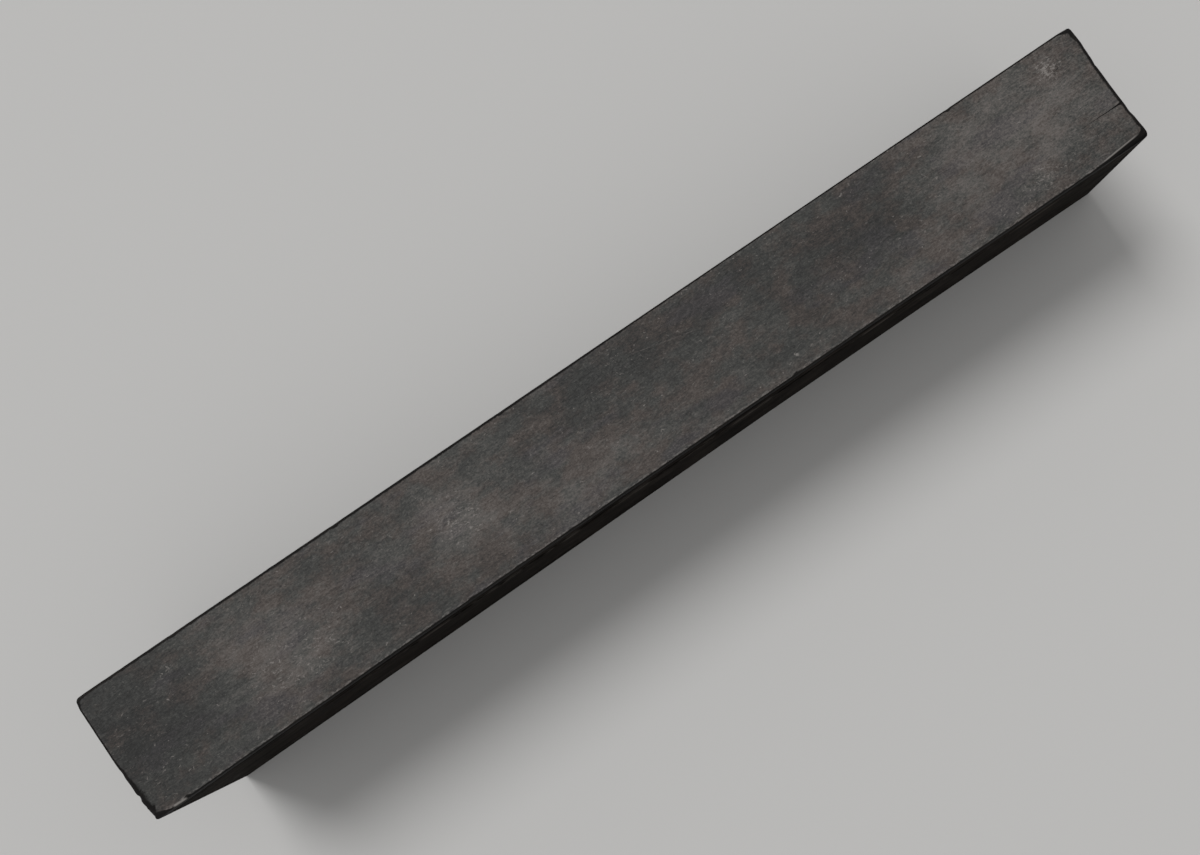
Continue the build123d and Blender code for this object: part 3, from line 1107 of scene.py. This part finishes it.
def pin_group(name, tree, places, depth, body, node):
    """One group of pins, such as the nails through the bottom board."""
    points = pin_points(name + "_places", places)
    group = grown(
        name, tree, "bamboo", Places=points, Radius=pin_radius, Depth=depth, Sides=pin_sides
    )
    bpy.data.objects.remove(points)
    smooth(group, 30)
    dressed(group, "bamboo", body, node)


pin_lines = (-pin_line, pin_line)
nail_places = [(x, y, 0.0) for y in pin_lines for x in nail_stations]
nail_places += [(-end_nail, 0.0, 0.0), (end_nail, 0.0, 0.0)]
peg_places = [(x, y, peg_foot) for y in pin_lines for x in peg_stations]
pins = pin_tree()
pin_group("bamboo_nails", pins, nail_places, nail_length, "base", "floor_nails")
pin_group("bamboo_pegs", pins, peg_places, peg_length, "lid", "lid_pegs")


# Silk bedding
cloth_scale = 10.0          # the cloth is worked out on a copy this much larger
cloth_pressure = 4.0
cloth_frames = 20
pressed_depth = 0.45        # how far the stick presses into the bed
fold_depth = 0.10
channel = 5.1               # between the stitched channels of a side lining
lining_roll = 0.55          # its rolled upper inner edge
lining_stations = 640
pad_columns, pad_rows = 560, 61
pad_round = 1.5             # how far the lid pad's edge rounds over
quilt_groove = 0.28
tuft_count = 23
tuft_size = 0.75
piping_inset = 0.5          # from the end block's sides to the line of its cord
piping_corner = 1.2
piping_drop = 1.55          # from the top of the block
strand_radius = 0.24
strand_lay = 0.25           # from the cord's middle to each strand's
strand_turns = 44.0

well_half = -corners("front_lining")[0][1]
pad_low, pad_high = corners("lid_pad")
lozenge = (pad_high[1] - pad_low[1]) / 2


def simulated_cushion(name, node, voxel, start_inset, most_swell):
    """A silk block from its CAD solid: remeshed, blown up as cloth, and kept to the solid's box."""
    low, high = corners(node)
    piece = merged_copy(node, name)
    middle = (low + high) / 2 * MM
    inner = 1 - 2 * start_inset / (high - low)
    set_points(piece, (points_of(piece) - middle) * inner * cloth_scale)
    remesh = piece.modifiers.new("remesh", "REMESH")
    remesh.mode = "VOXEL"
    remesh.voxel_size = voxel * MM * cloth_scale
    apply_modifiers(piece)
    before = points_of(piece)
    blown_up(piece)
    swell = points_of(piece) - before
    size = np.linalg.norm(swell, axis=1, keepdims=True)
    limit = most_swell * MM * cloth_scale
    swell *= np.minimum(1.0, limit / np.maximum(size, 1e-9))
    set_points(piece, (before + swell) / cloth_scale + middle)
    finer = piece.modifiers.new("finer", "SUBSURF")
    finer.levels = finer.render_levels = 1
    apply_modifiers(piece)
    set_points(piece, np.clip(points_of(piece), low * MM, high * MM))
    piece.data.shade_smooth()
    return piece


def blown_up(piece):
    """Runs the piece as cloth under pressure, without weight, and keeps the last frame's shape."""
    cloth = piece.modifiers.new("cloth", "CLOTH")
    cloth.settings.use_pressure = True
    cloth.settings.uniform_pressure_force = cloth_pressure
    cloth.settings.effector_weights.gravity = 0.0
    cloth.settings.quality = 5
    for step in range(1, cloth_frames + 1):
        bpy.context.scene.frame_set(step)
    apply_modifiers(piece)


def eased(share):
    """0 to 1 with a soft start and end."""
    share = np.clip(share, 0, 1)
    return share * share * (3 - 2 * share)


def height_share(points, node):
    """0 at the underside of a CAD node's box, 1 at its top."""
    low, high = corners(node)
    return np.clip((points[:, 2] - low[2]) / (high[2] - low[2]), 0, 1)


def bed():
    """The bed under the stick, pressed in where the stick lies."""
    piece = simulated_cushion(
        "silk_bed", "bed_cushion", voxel=0.95, start_inset=0.35, most_swell=0.6
    )
    points = points_of(piece) / MM
    x, y = points[:, 0], points[:, 1]
    half_stick = (stick_high - stick_low) / 2
    pressed = eased((half_stick[0] + 0.6 - np.abs(x)) / 2.5)
    pressed *= eased((half_stick[1] + 0.3 - np.abs(y)) / 1.6)
    folds = fold_depth * np.sin(x * 0.9 + 0.8 * np.sin(y * 0.45))
    sunk = pressed * pressed_depth + folds * (1 - pressed) + 0.10
    points[:, 2] -= height_share(points, "bed_cushion") ** 3 * sunk
    set_points(piece, points * MM)
    dressed(piece, "silk", "base", "bed_cushion")


def strip_section(thickness, height, roll, count):
    """Half-width and height along a thin strip's section, its upper inner edge rolled over."""
    points = [(0.0, 0.0), (thickness, 0.0)]
    points += [(thickness, height * share) for share in np.linspace(0.05, 0.97, count)]
    points += [(thickness * 0.8, height)]
    for turn in np.linspace(0, math.pi / 2, 6):
        points.append((roll - roll * math.sin(turn), height - roll + roll * math.cos(turn)))
    points += [(0.0, height * share) for share in np.linspace(0.94, 0.05, count)]
    return points


def swept_strip(name, section, stations, shape):
    """A closed strip: the section carried along X, each point passed through shape(x, a, b)."""
    points, faces = [], []
    count = len(section)
    for x in stations:
        points += [shape(x, a, b) for a, b in section]
    for i in range(len(stations) - 1):
        for j in range(count):
            k = (j + 1) % count
            faces.append((i * count + j, i * count + k, (i + 1) * count + k, (i + 1) * count + j))
    faces.append(tuple(range(count))[::-1])
    faces.append(tuple(range((len(stations) - 1) * count, len(stations) * count)))
    piece = mesh_object(name, points, faces)
    outward(piece)
    return piece


def side_lining(name, node, side):
    """The padded strip beside the stick, stitched in channels so that it stands in soft ribs."""
    low, high = corners(node)
    thickness, height = high[1] - low[1], high[2] - low[2]

    def shape(x, a, b):
        rib = abs(math.sin(math.pi * x / channel)) ** 0.6
        upper = min(1.0, b / height * 1.4)
        sunk = (1 - rib) * 0.26 + 0.05 * (1 + math.sin(x * 0.7 + b * 0.5))
        a = a + sunk * (1 - a / thickness)
        b = b - (1 - rib) * 0.22 * upper * (b / height) ** 6
        return (x, side * (well_half - thickness + a), low[2] + b)

    stations = np.linspace(low[0], high[0], lining_stations)
    section = strip_section(thickness, height, lining_roll, count=14)
    piece = swept_strip(name, section, stations, shape)
    piece.data.shade_smooth()
    dressed(piece, "silk", "base", node)


def quilted_depth(x, y, half_x, half_y, thickness):
    """How far the lid pad hangs down at a place: rounded at its edge, drawn in at the quilting."""
    inset = min(half_x - abs(x), half_y - abs(y))
    edge = math.sqrt(max(0.0, 1 - (1 - min(1.0, inset / pad_round)) ** 2))
    first = abs(((x + y) / lozenge) % 1.0 - 0.5) * 2
    second = abs(((x - y) / lozenge) % 1.0 - 0.5) * 2
    quilt = min(1.0, min(1 - first, 1 - second) / quilt_groove) ** 0.55
    return thickness * edge * (0.62 + 0.38 * quilt)


def lid_lining():
    """The thin pad under the lid, quilted in lozenges."""
    half_x, half_y = (pad_high[0] - pad_low[0]) / 2, (pad_high[1] - pad_low[1]) / 2
    back, thickness = pad_high[2], pad_high[2] - pad_low[2]
    points = []
    for i in range(pad_columns + 1):
        x = half_x * (2 * i / pad_columns - 1)
        for j in range(pad_rows + 1):
            v = 2 * j / pad_rows - 1
            y = half_y * (0.6 * v + 0.4 * math.sin(v * math.pi / 2))
            points.append((x, y, back - quilted_depth(x, y, half_x, half_y, thickness)))
    faces = grid_faces(pad_columns, pad_rows)
    # the border, walked round once, and the flat back that closes the pad
    across = pad_rows + 1
    border = [i * across for i in range(pad_columns + 1)]
    border += [pad_columns * across + j for j in range(1, across)]
    border += [i * across + pad_rows for i in range(pad_columns - 1, -1, -1)]
    border += list(range(pad_rows - 1, 0, -1))
    first = len(points)
    points += [(points[k][0], points[k][1], back) for k in border]
    for k, here in enumerate(border):
        n = (k + 1) % len(border)
        faces.append((here, border[n], first + n, first + k))
    faces.append(tuple(range(first, first + len(border))))
    piece = mesh_object("lid_lining", points, faces)
    outward(piece)
    piece.data.shade_smooth()
    dressed(piece, "silk", "lid", "lid_pad")


def tuft_tree():
    """Small silk knots on a row of points, where the quilting lines cross."""
    g = ShapeTree(
        "tufts", Count="count", Start="float", Pitch="float", Height="float", Size="float"
    )
    start = g.point(g.given("Start"), 0.0, g.given("Height"))
    knot = g.sphere(g.given("Size"), segments=12, rings=8)
    flat = g.transformed(knot, Scale=(1.0, 1.0, 0.55))
    return g.finish(g.copies(flat, g.row(g.given("Count"), start, g.given("Pitch"))))


def lid_tufts():
    """The knots along the middle of the lid's pad."""
    tufts = grown(
        "lid_tufts",
        tuft_tree(),
        "silk_cord",
        Count=tuft_count,
        Start=-(tuft_count // 2) * lozenge,
        Pitch=lozenge,
        Height=float(pad_low[2]) + 0.5,
        Size=tuft_size,
    )
    tufts.data.shade_smooth()
    dressed(tufts, "silk", "lid", finish="silk_cord")


def twisted_cord_tree():
    """Strands laid round a path: each follows it at a small distance and winds as it goes."""
    g = ShapeTree(
        "twisted_cord",
        Path="object",
        Steps="count",
        Strands="count",
        Strand_radius="float",
        Lay_radius="float",
        Turns="float",
    )
    path = g.resampled(g.shape_of("Path"), g.given("Steps"))
    strands = g.node(
        "GeometryNodeDuplicateElements",
        {"Geometry": path, "Amount": g.given("Strands")},
        domain="SPLINE",
    )
    strand = Field(g, strands.outputs["Duplicate Index"]) / g.given("Strands")
    along = g.field("GeometryNodeSplineParameter", "Factor")
    turn = (along * g.given("Turns") + strand) * math.tau
    normal = g.field("GeometryNodeInputNormal", "Normal")
    tangent = g.field("GeometryNodeInputTangent", "Tangent")
    beside = g.vector("CROSS_PRODUCT", normal, tangent)
    out = g.scaled(normal, g.math("COSINE", turn) * g.given("Lay radius"))
    aside = g.scaled(beside, g.math("SINE", turn) * g.given("Lay radius"))
    wound = g.moved(Field(g, strands.outputs["Geometry"]), Offset=g.vector("ADD", out, aside))
    return g.finish(g.swept(wound, g.circle(g.given("Strand radius"))))


def curve_object(name, rows, closed=False, kind="POLY"):
    """A curve through points, left in millimetres for the shape trees that scale it."""
    data = bpy.data.curves.new(name, "CURVE")
    data.dimensions = "3D"
    spline = data.splines.new(kind)
    spline.points.add(len(rows) - 1)
    for point, row in zip(spline.points, rows):
        point.co = (*row, 1.0)
    spline.use_cyclic_u = closed
    if kind == "NURBS":
        spline.order_u = 4
        spline.use_endpoint_u = not closed
    return new_object(name, data)


def rounded_loop(centre, half_x, half_y, radius, height):
    """A level loop with round corners."""
    rows = []
    for quarter, (sx, sy) in enumerate(((1, 1), (-1, 1), (-1, -1), (1, -1))):
        for step in range(7):
            turn = math.pi / 2 * (quarter + step / 6)
            x = centre + sx * (half_x - radius) + radius * math.cos(turn)
            y = sy * (half_y - radius) + radius * math.sin(turn)
            rows.append((x, y, height))
    return rows


def drawn_in(points, middle, node):
    """Draws the middle of a block's top down to a knot, with five faint pleats round it."""
    along, across = points[:, 0] - middle[0], points[:, 1] - middle[1]
    away = np.hypot(along, across)
    knot = 0.9 * np.exp(-(away / 1.9) ** 2)
    pleats = 0.12 * np.cos(5 * np.arctan2(across, along)) * np.exp(-((away - 3.5) / 2.0) ** 2)
    points[:, 2] -= height_share(points, node) ** 6 * (knot + pleats)


def end_block(side, tree):
    """The padded block past one end of the stick, with a twisted cord round its upper edge."""
    name = "left" if side < 0 else "right"
    node = name + "_cushion"
    low, high = corners(node)
    middle, half = (low + high) / 2, (high - low) / 2 - piping_inset
    piece = simulated_cushion(
        "silk_" + name + "_block", node, voxel=0.62, start_inset=0.45, most_swell=0.75
    )
    points = points_of(piece) / MM
    drawn_in(points, middle, node)
    set_points(piece, points * MM)
    dressed(piece, "silk", "base", node)
    loop = rounded_loop(middle[0], half[0], half[1], piping_corner, high[2] - piping_drop)
    path = curve_object("path", loop, closed=True)
    cord = grown(
        "silk_" + name + "_cord",
        tree,
        "silk_cord",
        Path=path,
        Steps=420,
        Strands=3,
        Strand_radius=strand_radius,
        Lay_radius=strand_lay,
        Turns=strand_turns,
    )
    bpy.data.objects.remove(path)
    outward(cord)
    cord.data.shade_smooth()
    dressed(cord, "silk", "base", finish="silk_cord")


bed()
side_lining("silk_front_lining", "front_lining", -1)
side_lining("silk_back_lining", "back_lining", 1)
cord_tree = twisted_cord_tree()
end_block(-1, cord_tree)
end_block(1, cord_tree)
lid_lining()
lid_tufts()


# Lifting ribbon
ribbon_thickness = 0.30
ribbon_middle = 0.175       # from the CAD ribbon's outer side to the middle of its thickness
ribbon_turn = 1.475         # radius of its turns behind the stick
ribbon_notch = 1.8          # depth of the swallowtail cut at each end
ribbon_tail = 1.2           # how far the upper end stands up, to be picked up by
ribbon_columns, ribbon_rows = 150, 26


def ribbon_line():
    """The ribbon's line round the stick, from its lower end to its upper end."""
    low, high = corners("lift_ribbon")
    front, back = low[1], high[1] - ribbon_middle
    middle, rise = (high[2] + low[2]) / 2, (high[2] - low[2]) / 2 - ribbon_middle
    turn_y, turn_z = back - ribbon_turn, rise - ribbon_turn
    quarter = [(math.cos(a), math.sin(a)) for a in np.linspace(0, math.pi / 2, 12)]
    rows = [(y, -rise) for y in np.linspace(front, turn_y, 40)]
    for out, up in quarter[-2::-1]:
        rows.append((turn_y + ribbon_turn * out, -turn_z - ribbon_turn * up))
    rows += [(back, z) for z in np.linspace(-turn_z, turn_z, 22)[1:]]
    for out, up in quarter[1:]:
        rows.append((turn_y + ribbon_turn * out, turn_z + ribbon_turn * up))
    for y in np.linspace(turn_y, front - 1.0, 44)[1:]:
        lift = max(0.0, (front + 5.0 - y) / 6.0)
        rows.append((y, rise + ribbon_tail * lift ** 1.8))
    return np.array([(y, middle + z) for y, z in rows])


def ribbon_weave(line, centre, half):
    """The sheet's points with their places along and across it, and the ribbon's length."""
    steps = np.linalg.norm(np.diff(line, axis=0), axis=1)
    place = np.concatenate([[0.0], np.cumsum(steps)])
    total = place[-1]

    def at(s):
        return np.interp(s, place, line[:, 0]), np.interp(s, place, line[:, 1])

    rows = []
    for i in range(ribbon_columns + 1):
        for j in range(ribbon_rows + 1):
            w = half * (2 * j / ribbon_rows - 1)
            cut = ribbon_notch * (1 - abs(w) / half)
            s = cut + (total - 2 * cut) * i / ribbon_columns
            y, z = at(s)
            ahead, behind = at(min(total, s + 0.05)), at(max(0.0, s - 0.05))
            run = Vector((ahead[0] - behind[0], ahead[1] - behind[1])).normalized()
            wave = 0.06 * math.sin(0.55 * s + 0.25 * w) + 0.05 * (w / half) ** 2
            rows.append(((centre + w, y + run[1] * wave, z - run[0] * wave), s, w))
    return rows, total


def lifting_ribbon():
    """The ribbon as a woven sheet with a slight wave all along it."""
    low, high = corners("lift_ribbon")
    half = (high[0] - low[0]) / 2
    rows, total = ribbon_weave(ribbon_line(), (low[0] + high[0]) / 2, half)
    points, along, across = zip(*rows)
    piece = mesh_object("lifting_ribbon", points, grid_faces(ribbon_columns, ribbon_rows))
    for label, values in (("along", along), ("across", across)):
        attribute = piece.data.attributes.new(label, "FLOAT", "POINT")
        attribute.data.foreach_set("value", np.array(values, np.float32))
    thicker = piece.modifiers.new("thickness", "SOLIDIFY")
    thicker.thickness = ribbon_thickness * MM
    thicker.offset = 0.0
    apply_modifiers(piece)
    outward(piece)
    piece.data.shade_smooth()
    dressed(piece, "ribbon_silk", "stick", "lift_ribbon")
    width = 2 * half * MM
    area = width * (total - ribbon_notch) * MM
    total * MM


# Ink stick
mould_ease = 0.12
panel_end = 9.0             # plain frame round the sunk panel, at the stick's ends
panel_border = 1.9          # the same frame along its sides
panel_depth = 0.5
side_panel_depth = 0.35
relief_line = 0.26          # width and height of a raised line
relief_show = 0.20          # how far a raised line stands above the sunk panel
fret_pitch = 2.3
fret_height = 1.25
fret_margin = 0.35          # between the fret and the side of the panel
fret_space = 7.0            # what the fret leaves free at the panel's indented corners
fret_hook = ((0, 0), (0, 1), (0.74, 1), (0.74, 0.33), (0.38, 0.33), (0.38, 0.62))
inner_line_gap = 0.42
scroll_count = 32
scroll_pitch = 5.6
bough_line = (
    (7, 0.3), (16, 1.3), (28, -1.4), (41, 1.3), (54, -1.3), (67, 1.2), (80, -0.8), (88, 0.2)
)
bough_thickness = 0.26
bough_steps = 90
spray_count = 13
spray_seed = 11
flower_radius = 4.3
flower_height = 0.34
flower_lift = 0.175         # the medallion above the bottom of the panel, less the flower's rim
stamen_count = 15

half_stick_x = (stick_high[0] - stick_low[0]) / 2
half_stick_y = (stick_high[1] - stick_low[1]) / 2
panel_ground = stick_high[2] - panel_depth


def relief_row_tree():
    """A raised motif repeated along a straight row: a fret, a scroll or a border line."""
    g = ShapeTree(
        "relief_row",
        Motif="object",
        Count="count",
        Pitch="float",
        Start_x="float",
        Row_y="float",
        Row_z="float",
        Turn_x="float",
        Turn_z="float",
        Line="float",
    )
    start = g.point(g.given("Start x"), g.given("Row y"), g.given("Row z"))
    row = g.row(g.given("Count"), start, g.given("Pitch"))
    turn = g.point(g.given("Turn x"), 0.0, g.given("Turn z"))
    motifs = g.copies(g.shape_of("Motif"), row, Rotation=turn)
    curves = g.field("GeometryNodeRealizeInstances", "Geometry", {"Geometry": motifs})
    feeds = {"Width": g.given("Line"), "Height": g.given("Line")}
    square = g.field("GeometryNodeCurvePrimitiveQuadrilateral", "Curve", feeds)
    return g.finish(g.swept(curves, square, Fill_Caps=True))


def relief(piece, finish, angle):
    """The last steps of a piece of relief on the stick."""
    outward(piece)
    smooth(piece, angle)
    return dressed(piece, "ink", "stick", finish=finish)


def relief_row(name, tree, motif, finish, **values):
    """One straight row of a raised motif, finished and put on the stick."""
    piece = grown(name, tree, finish, Motif=motif, Line=relief_line, **values)
    return relief(piece, finish, 35)


def spiral(turns, start, end, count):
    """A flat spiral from an outer to an inner radius."""
    rows = []
    for i in range(count + 1):
        share = i / count
        radius = start + (end - start) * share
        turn = math.tau * turns * share
        rows.append((radius * math.cos(turn), radius * math.sin(turn), 0.0))
    return rows


def blossom(radius, height, lobes=5):
    """Points and faces of a low five-petalled flower with a raised heart, on Z = 0."""
    around, rings = lobes * 8, 7
    points, faces = [], []
    for i in range(rings + 1):
        share = i / rings
        for j in range(around):
            turn = math.tau * j / around
            lobe = abs(math.cos(turn * lobes / 2)) ** 0.45
            reach = radius * (0.58 + 0.42 * lobe) * share
            petal = math.sin(math.pi * min(1.0, share * 1.02)) ** 0.7 * (0.45 + 0.55 * lobe)
            heart = max(0.0, 1 - share / 0.24) ** 0.5
            z = height * max(petal * 0.8, heart) - (0.12 if i == rings else 0.0)
            points.append((reach * math.cos(turn), reach * math.sin(turn), z))
    for i in range(rings):
        for j in range(around):
            k = (j + 1) % around
            a, b = i * around, (i + 1) * around
            faces.append((a + j, b + j, b + k, a + k))
    faces.append(tuple(rings * around + j for j in range(around))[::-1])
    return points, faces


def tube(rows, radii, sides=7, flatten=0.65):
    """Points and faces of a tapered round twig along a line in the XY plane."""
    points, faces = [], []
    for i, (x, y) in enumerate(rows):
        ahead = rows[min(i + 1, len(rows) - 1)]
        behind = rows[max(i - 1, 0)]
        run = Vector((ahead[0] - behind[0], ahead[1] - behind[1])).normalized()
        for j in range(sides):
            turn = math.tau * j / sides
            aside, rise = radii[i] * math.cos(turn), radii[i] * flatten * math.sin(turn)
            points.append((x - run[1] * aside, y + run[0] * aside, rise))
    for i in range(len(rows) - 1):
        for j in range(sides):
            k = (j + 1) % sides
            faces.append((i * sides + j, (i + 1) * sides + j, (i + 1) * sides + k, i * sides + k))
    faces.append(tuple(range(sides)))
    faces.append(tuple(range((len(rows) - 1) * sides, len(rows) * sides))[::-1])
    return points, faces


def spray(name, side):
    """A twig with a blossom at its tip and a bud beside it, left in millimetres."""
    points, faces = [], []

    def add(shape, move=(0.0, 0.0, 0.0)):
        start = len(points)
        points.extend((p[0] + move[0], p[1] + move[1], p[2] + move[2]) for p in shape[0])
        faces.extend(tuple(start + k for k in face) for face in shape[1])

    twig = [(0.0, 0.0), (0.7, 0.5 * side), (1.5, 1.2 * side), (2.2, 2.1 * side)]
    add(tube(twig, (0.22, 0.19, 0.15, 0.10)))
    add(blossom(1.55, 0.24), (2.5, 2.5 * side, 0.0))
    shoot = [(0.7, 0.5 * side), (1.6, 0.2 * side), (2.6, 0.5 * side), (3.6, 0.2 * side)]
    add(tube(shoot, (0.13, 0.12, 0.10, 0.07)))
    add(blossom(0.55, 0.22, 3), (3.9, 0.2 * side, 0.0))
    mesh = bpy.data.meshes.new(name)
    mesh.from_pydata(points, [], faces)
    piece = new_object(name, mesh)
    outward(piece)
    return piece


def branch_tree():
    """A bough along a path with sprays growing to its left and right in turn."""
    g = ShapeTree(
        "flowering_branch",
        Path="object",
        Left_spray="object",
        Right_spray="object",
        Sprays="count",
        Thickness="float",
    )
    path = g.shape_of("Path")
    taper = 1.25 - g.field("GeometryNodeSplineParameter", "Factor") * 0.8
    feeds = {"Curve": g.resampled(path, bough_steps), "Radius": taper}
    tapered = g.field("GeometryNodeSetCurveRadius", "Curve", feeds)
    bough = g.swept(tapered, g.circle(g.given("Thickness")), Scale=taper, Fill_Caps=True)
    stations = g.node("GeometryNodeCurveToPoints", {"Curve": path, "Count": g.given("Sprays")})
    spots = Field(g, stations.outputs["Points"])
    tangent = g.parts(Field(g, stations.outputs["Tangent"]))
    heading = g.point(0.0, 0.0, g.math("ARCTAN2", tangent[1], tangent[0]))
    odd = g.math("MODULO", g.field("GeometryNodeInputIndex", "Index"), 2.0)
    size = g.random(spray_seed, 0.85, 1.12)
    parts = [bough]
    for label, chosen in (("Left spray", 1 - odd), ("Right spray", odd)):
        feeds = {"Selection": chosen, "Rotation": heading, "Scale": size}
        parts.append(g.copies(g.shape_of(label), spots, **feeds))
    return g.finish(g.joined(*parts))


def ring_tree():
    """Equal small beads on a circle, such as the stamens round a flower's heart."""
    g = ShapeTree("bead_ring", Count="count", Ring="float", Bead="float", Height="float")
    feeds = {"Vertices": g.given("Count"), "Radius": g.given("Ring")}
    circle = g.field("GeometryNodeMeshCircle", "Mesh", feeds)
    raised = g.transformed(circle, Translation=g.point(0.0, 0.0, g.given("Height")))
    return g.finish(g.copies(g.sphere(g.given("Bead"), segments=10, rings=6), raised))


def fret_borders(tree):
    """A gilded fret between two lines along each side of the panel."""
    count = int((2 * (half_stick_x - panel_end) - fret_space) / fret_pitch)
    row_start = -count * fret_pitch / 2
    points = [(x * fret_pitch, y * fret_height, 0.0) for x, y in fret_hook]
    hook = curve_object("fret_hook", points)
    bar = curve_object("border_bar", [(0.0, 0.0, 0.0), (count * fret_pitch, 0.0, 0.0)])
    inner = half_stick_y - panel_border - fret_margin - fret_height
    common = {"Row_z": panel_ground + relief_show - relief_line / 2, "Turn_x": 0.0}
    for name, side in (("front", -1), ("back", 1)):
        base = side * (inner + fret_height)
        start, turn = (row_start, 0.0) if side < 0 else (row_start + fret_pitch, math.pi)
        relief_row(
            "gilt_" + name + "_fret", tree, hook, "gilt",
            Count=count, Pitch=fret_pitch, Start_x=start, Row_y=base, Turn_z=turn, **common
        )
        for label, y in (("outer", base), ("inner", side * (inner - inner_line_gap))):
            relief_row(
                "gilt_" + name + "_" + label + "_line", tree, bar, "gilt",
                Count=1, Pitch=1.0, Start_x=row_start, Row_y=y, Turn_z=0.0, **common
            )
    bpy.data.objects.remove(hook)
    bpy.data.objects.remove(bar)


def side_scrolls(tree):
    """A row of moulded scrolls, without gold, along each side of the stick."""
    scroll = curve_object("scroll", spiral(2.2, 2.4, 0.35, 34))
    face = half_stick_y - side_panel_depth + relief_show - relief_line / 2
    for name, side in (("front", -1), ("back", 1)):
        relief_row(
            "moulded_" + name + "_scroll", tree, scroll, "ink",
            Count=scroll_count, Pitch=scroll_pitch,
            Start_x=-(scroll_count - 1) / 2 * scroll_pitch,
            Row_y=side * face,
            Row_z=float(stick_low[2] + stick_high[2]) / 2,
            Turn_x=math.pi / 2, Turn_z=0.0,
        )
    bpy.data.objects.remove(scroll)


def flowering_boughs():
    """A gilded bough from each side of the flower towards the end of the panel."""
    branches = branch_tree()
    left, right = spray("left_spray", 1), spray("right_spray", -1)
    for name, side in (("left", -1), ("right", 1)):
        rows = [(side * x, side * y, panel_ground + 0.02) for x, y in bough_line]
        path = curve_object("bough", rows, kind="NURBS")
        branch = grown(
            "gilt_" + name + "_branch", branches, "gilt",
            Path=path, Left_spray=left, Right_spray=right,
            Sprays=spray_count, Thickness=bough_thickness,
        )
        bpy.data.objects.remove(path)
        relief(branch, "gilt", 40)
    bpy.data.objects.remove(left)
    bpy.data.objects.remove(right)


def medallion_flower():
    """The five-petalled flower on the medallion, with its ring of stamens."""
    points, faces = blossom(flower_radius, flower_height)
    lift = panel_ground + flower_lift
    flower = mesh_object("gilt_medallion_flower", [(-y, x, z + lift) for x, y, z in points], faces)
    relief(flower, "gilt", 40)
    stamens = grown(
        "gilt_stamens", ring_tree(), "gilt",
        Count=stamen_count, Ring=1.75, Bead=0.16, Height=float(panel_ground) + 0.44,
    )
    stamens.data.shade_smooth()
    dressed(stamens, "ink", "stick", finish="gilt")


eased_board("stick_body", "ink_stick", "ink", "stick", mould_ease)
relief_rows = relief_row_tree()
fret_borders(relief_rows)
side_scrolls(relief_rows)
flowering_boughs()
medallion_flower()
lifting_ribbon()


# Setting the stage

def pale_surroundings():
    """An even white sky, which the camera and glossy surfaces see as a backdrop instead."""
    world = bpy.data.worlds.new("sky")
    world.use_nodes = True
    tree = world.node_tree
    g = Graph(tree)
    sky = tree.nodes["Background"]
    g.feed(sky.inputs["Color"], (1.0, 1.0, 1.0, 1.0))
    g.feed(sky.inputs["Strength"], sky_strength)
    backdrop = g.node(
        "ShaderNodeBackground", {"Color": (*backdrop_colour, 1.0), "Strength": 1.0}
    )
    path = g.node("ShaderNodeLightPath")
    rays = ("Is Camera Ray", "Is Glossy Ray", "Is Transmission Ray")
    seen = g.most(*(Field(g, path.outputs[ray]) for ray in rays))
    either = g.node("ShaderNodeMixShader", {"Fac": seen})
    tree.links.new(sky.outputs["Background"], either.inputs[1])
    tree.links.new(backdrop.outputs["Background"], either.inputs[2])
    tree.links.new(either.outputs["Shader"], tree.nodes["World Output"].inputs["Surface"])
    return world


def set_stage():
    """The plain pale floor, one soft light from behind the case, and an even sky."""
    size = floor_reach / 2 / MM
    outline = ((-size, -size), (size, -size), (size, size), (-size, size))
    floor = mesh_object("floor", [(x, y, floor_height) for x, y in outline], [(0, 1, 2, 3)])
    floor.data.materials.append(floor_finish())
    lamp = bpy.data.lights.new("key", "SUN")
    lamp.angle = math.radians(key_spread)
    lamp.energy = key_strength
    key = new_object("key", lamp)
    key.rotation_mode = "QUATERNION"
    key.rotation_quaternion = (-Vector(key_from)).to_track_quat("-Z", "Y")
    bpy.context.scene.world = pale_surroundings()
    bpy.context.scene.view_settings.view_transform = "Standard"


def set_camera():
    """The camera at the photograph's angle."""
    data = bpy.data.cameras.new("camera")
    data.lens = camera_lens
    data.sensor_width = camera_sensor
    data.shift_x, data.shift_y = camera_shift
    data.clip_start = 0.005
    back = Vector(camera_back).normalized()
    right = Vector(camera_right)
    right = (right - back * right.dot(back)).normalized()
    up = back.cross(right)
    turned = Matrix((right, up, back)).transposed().to_4x4()
    camera = new_object("camera", data)
    camera.matrix_world = Matrix.Translation(Vector(camera_place)) @ turned
    bpy.context.scene.camera = camera


set_stage()
set_camera()
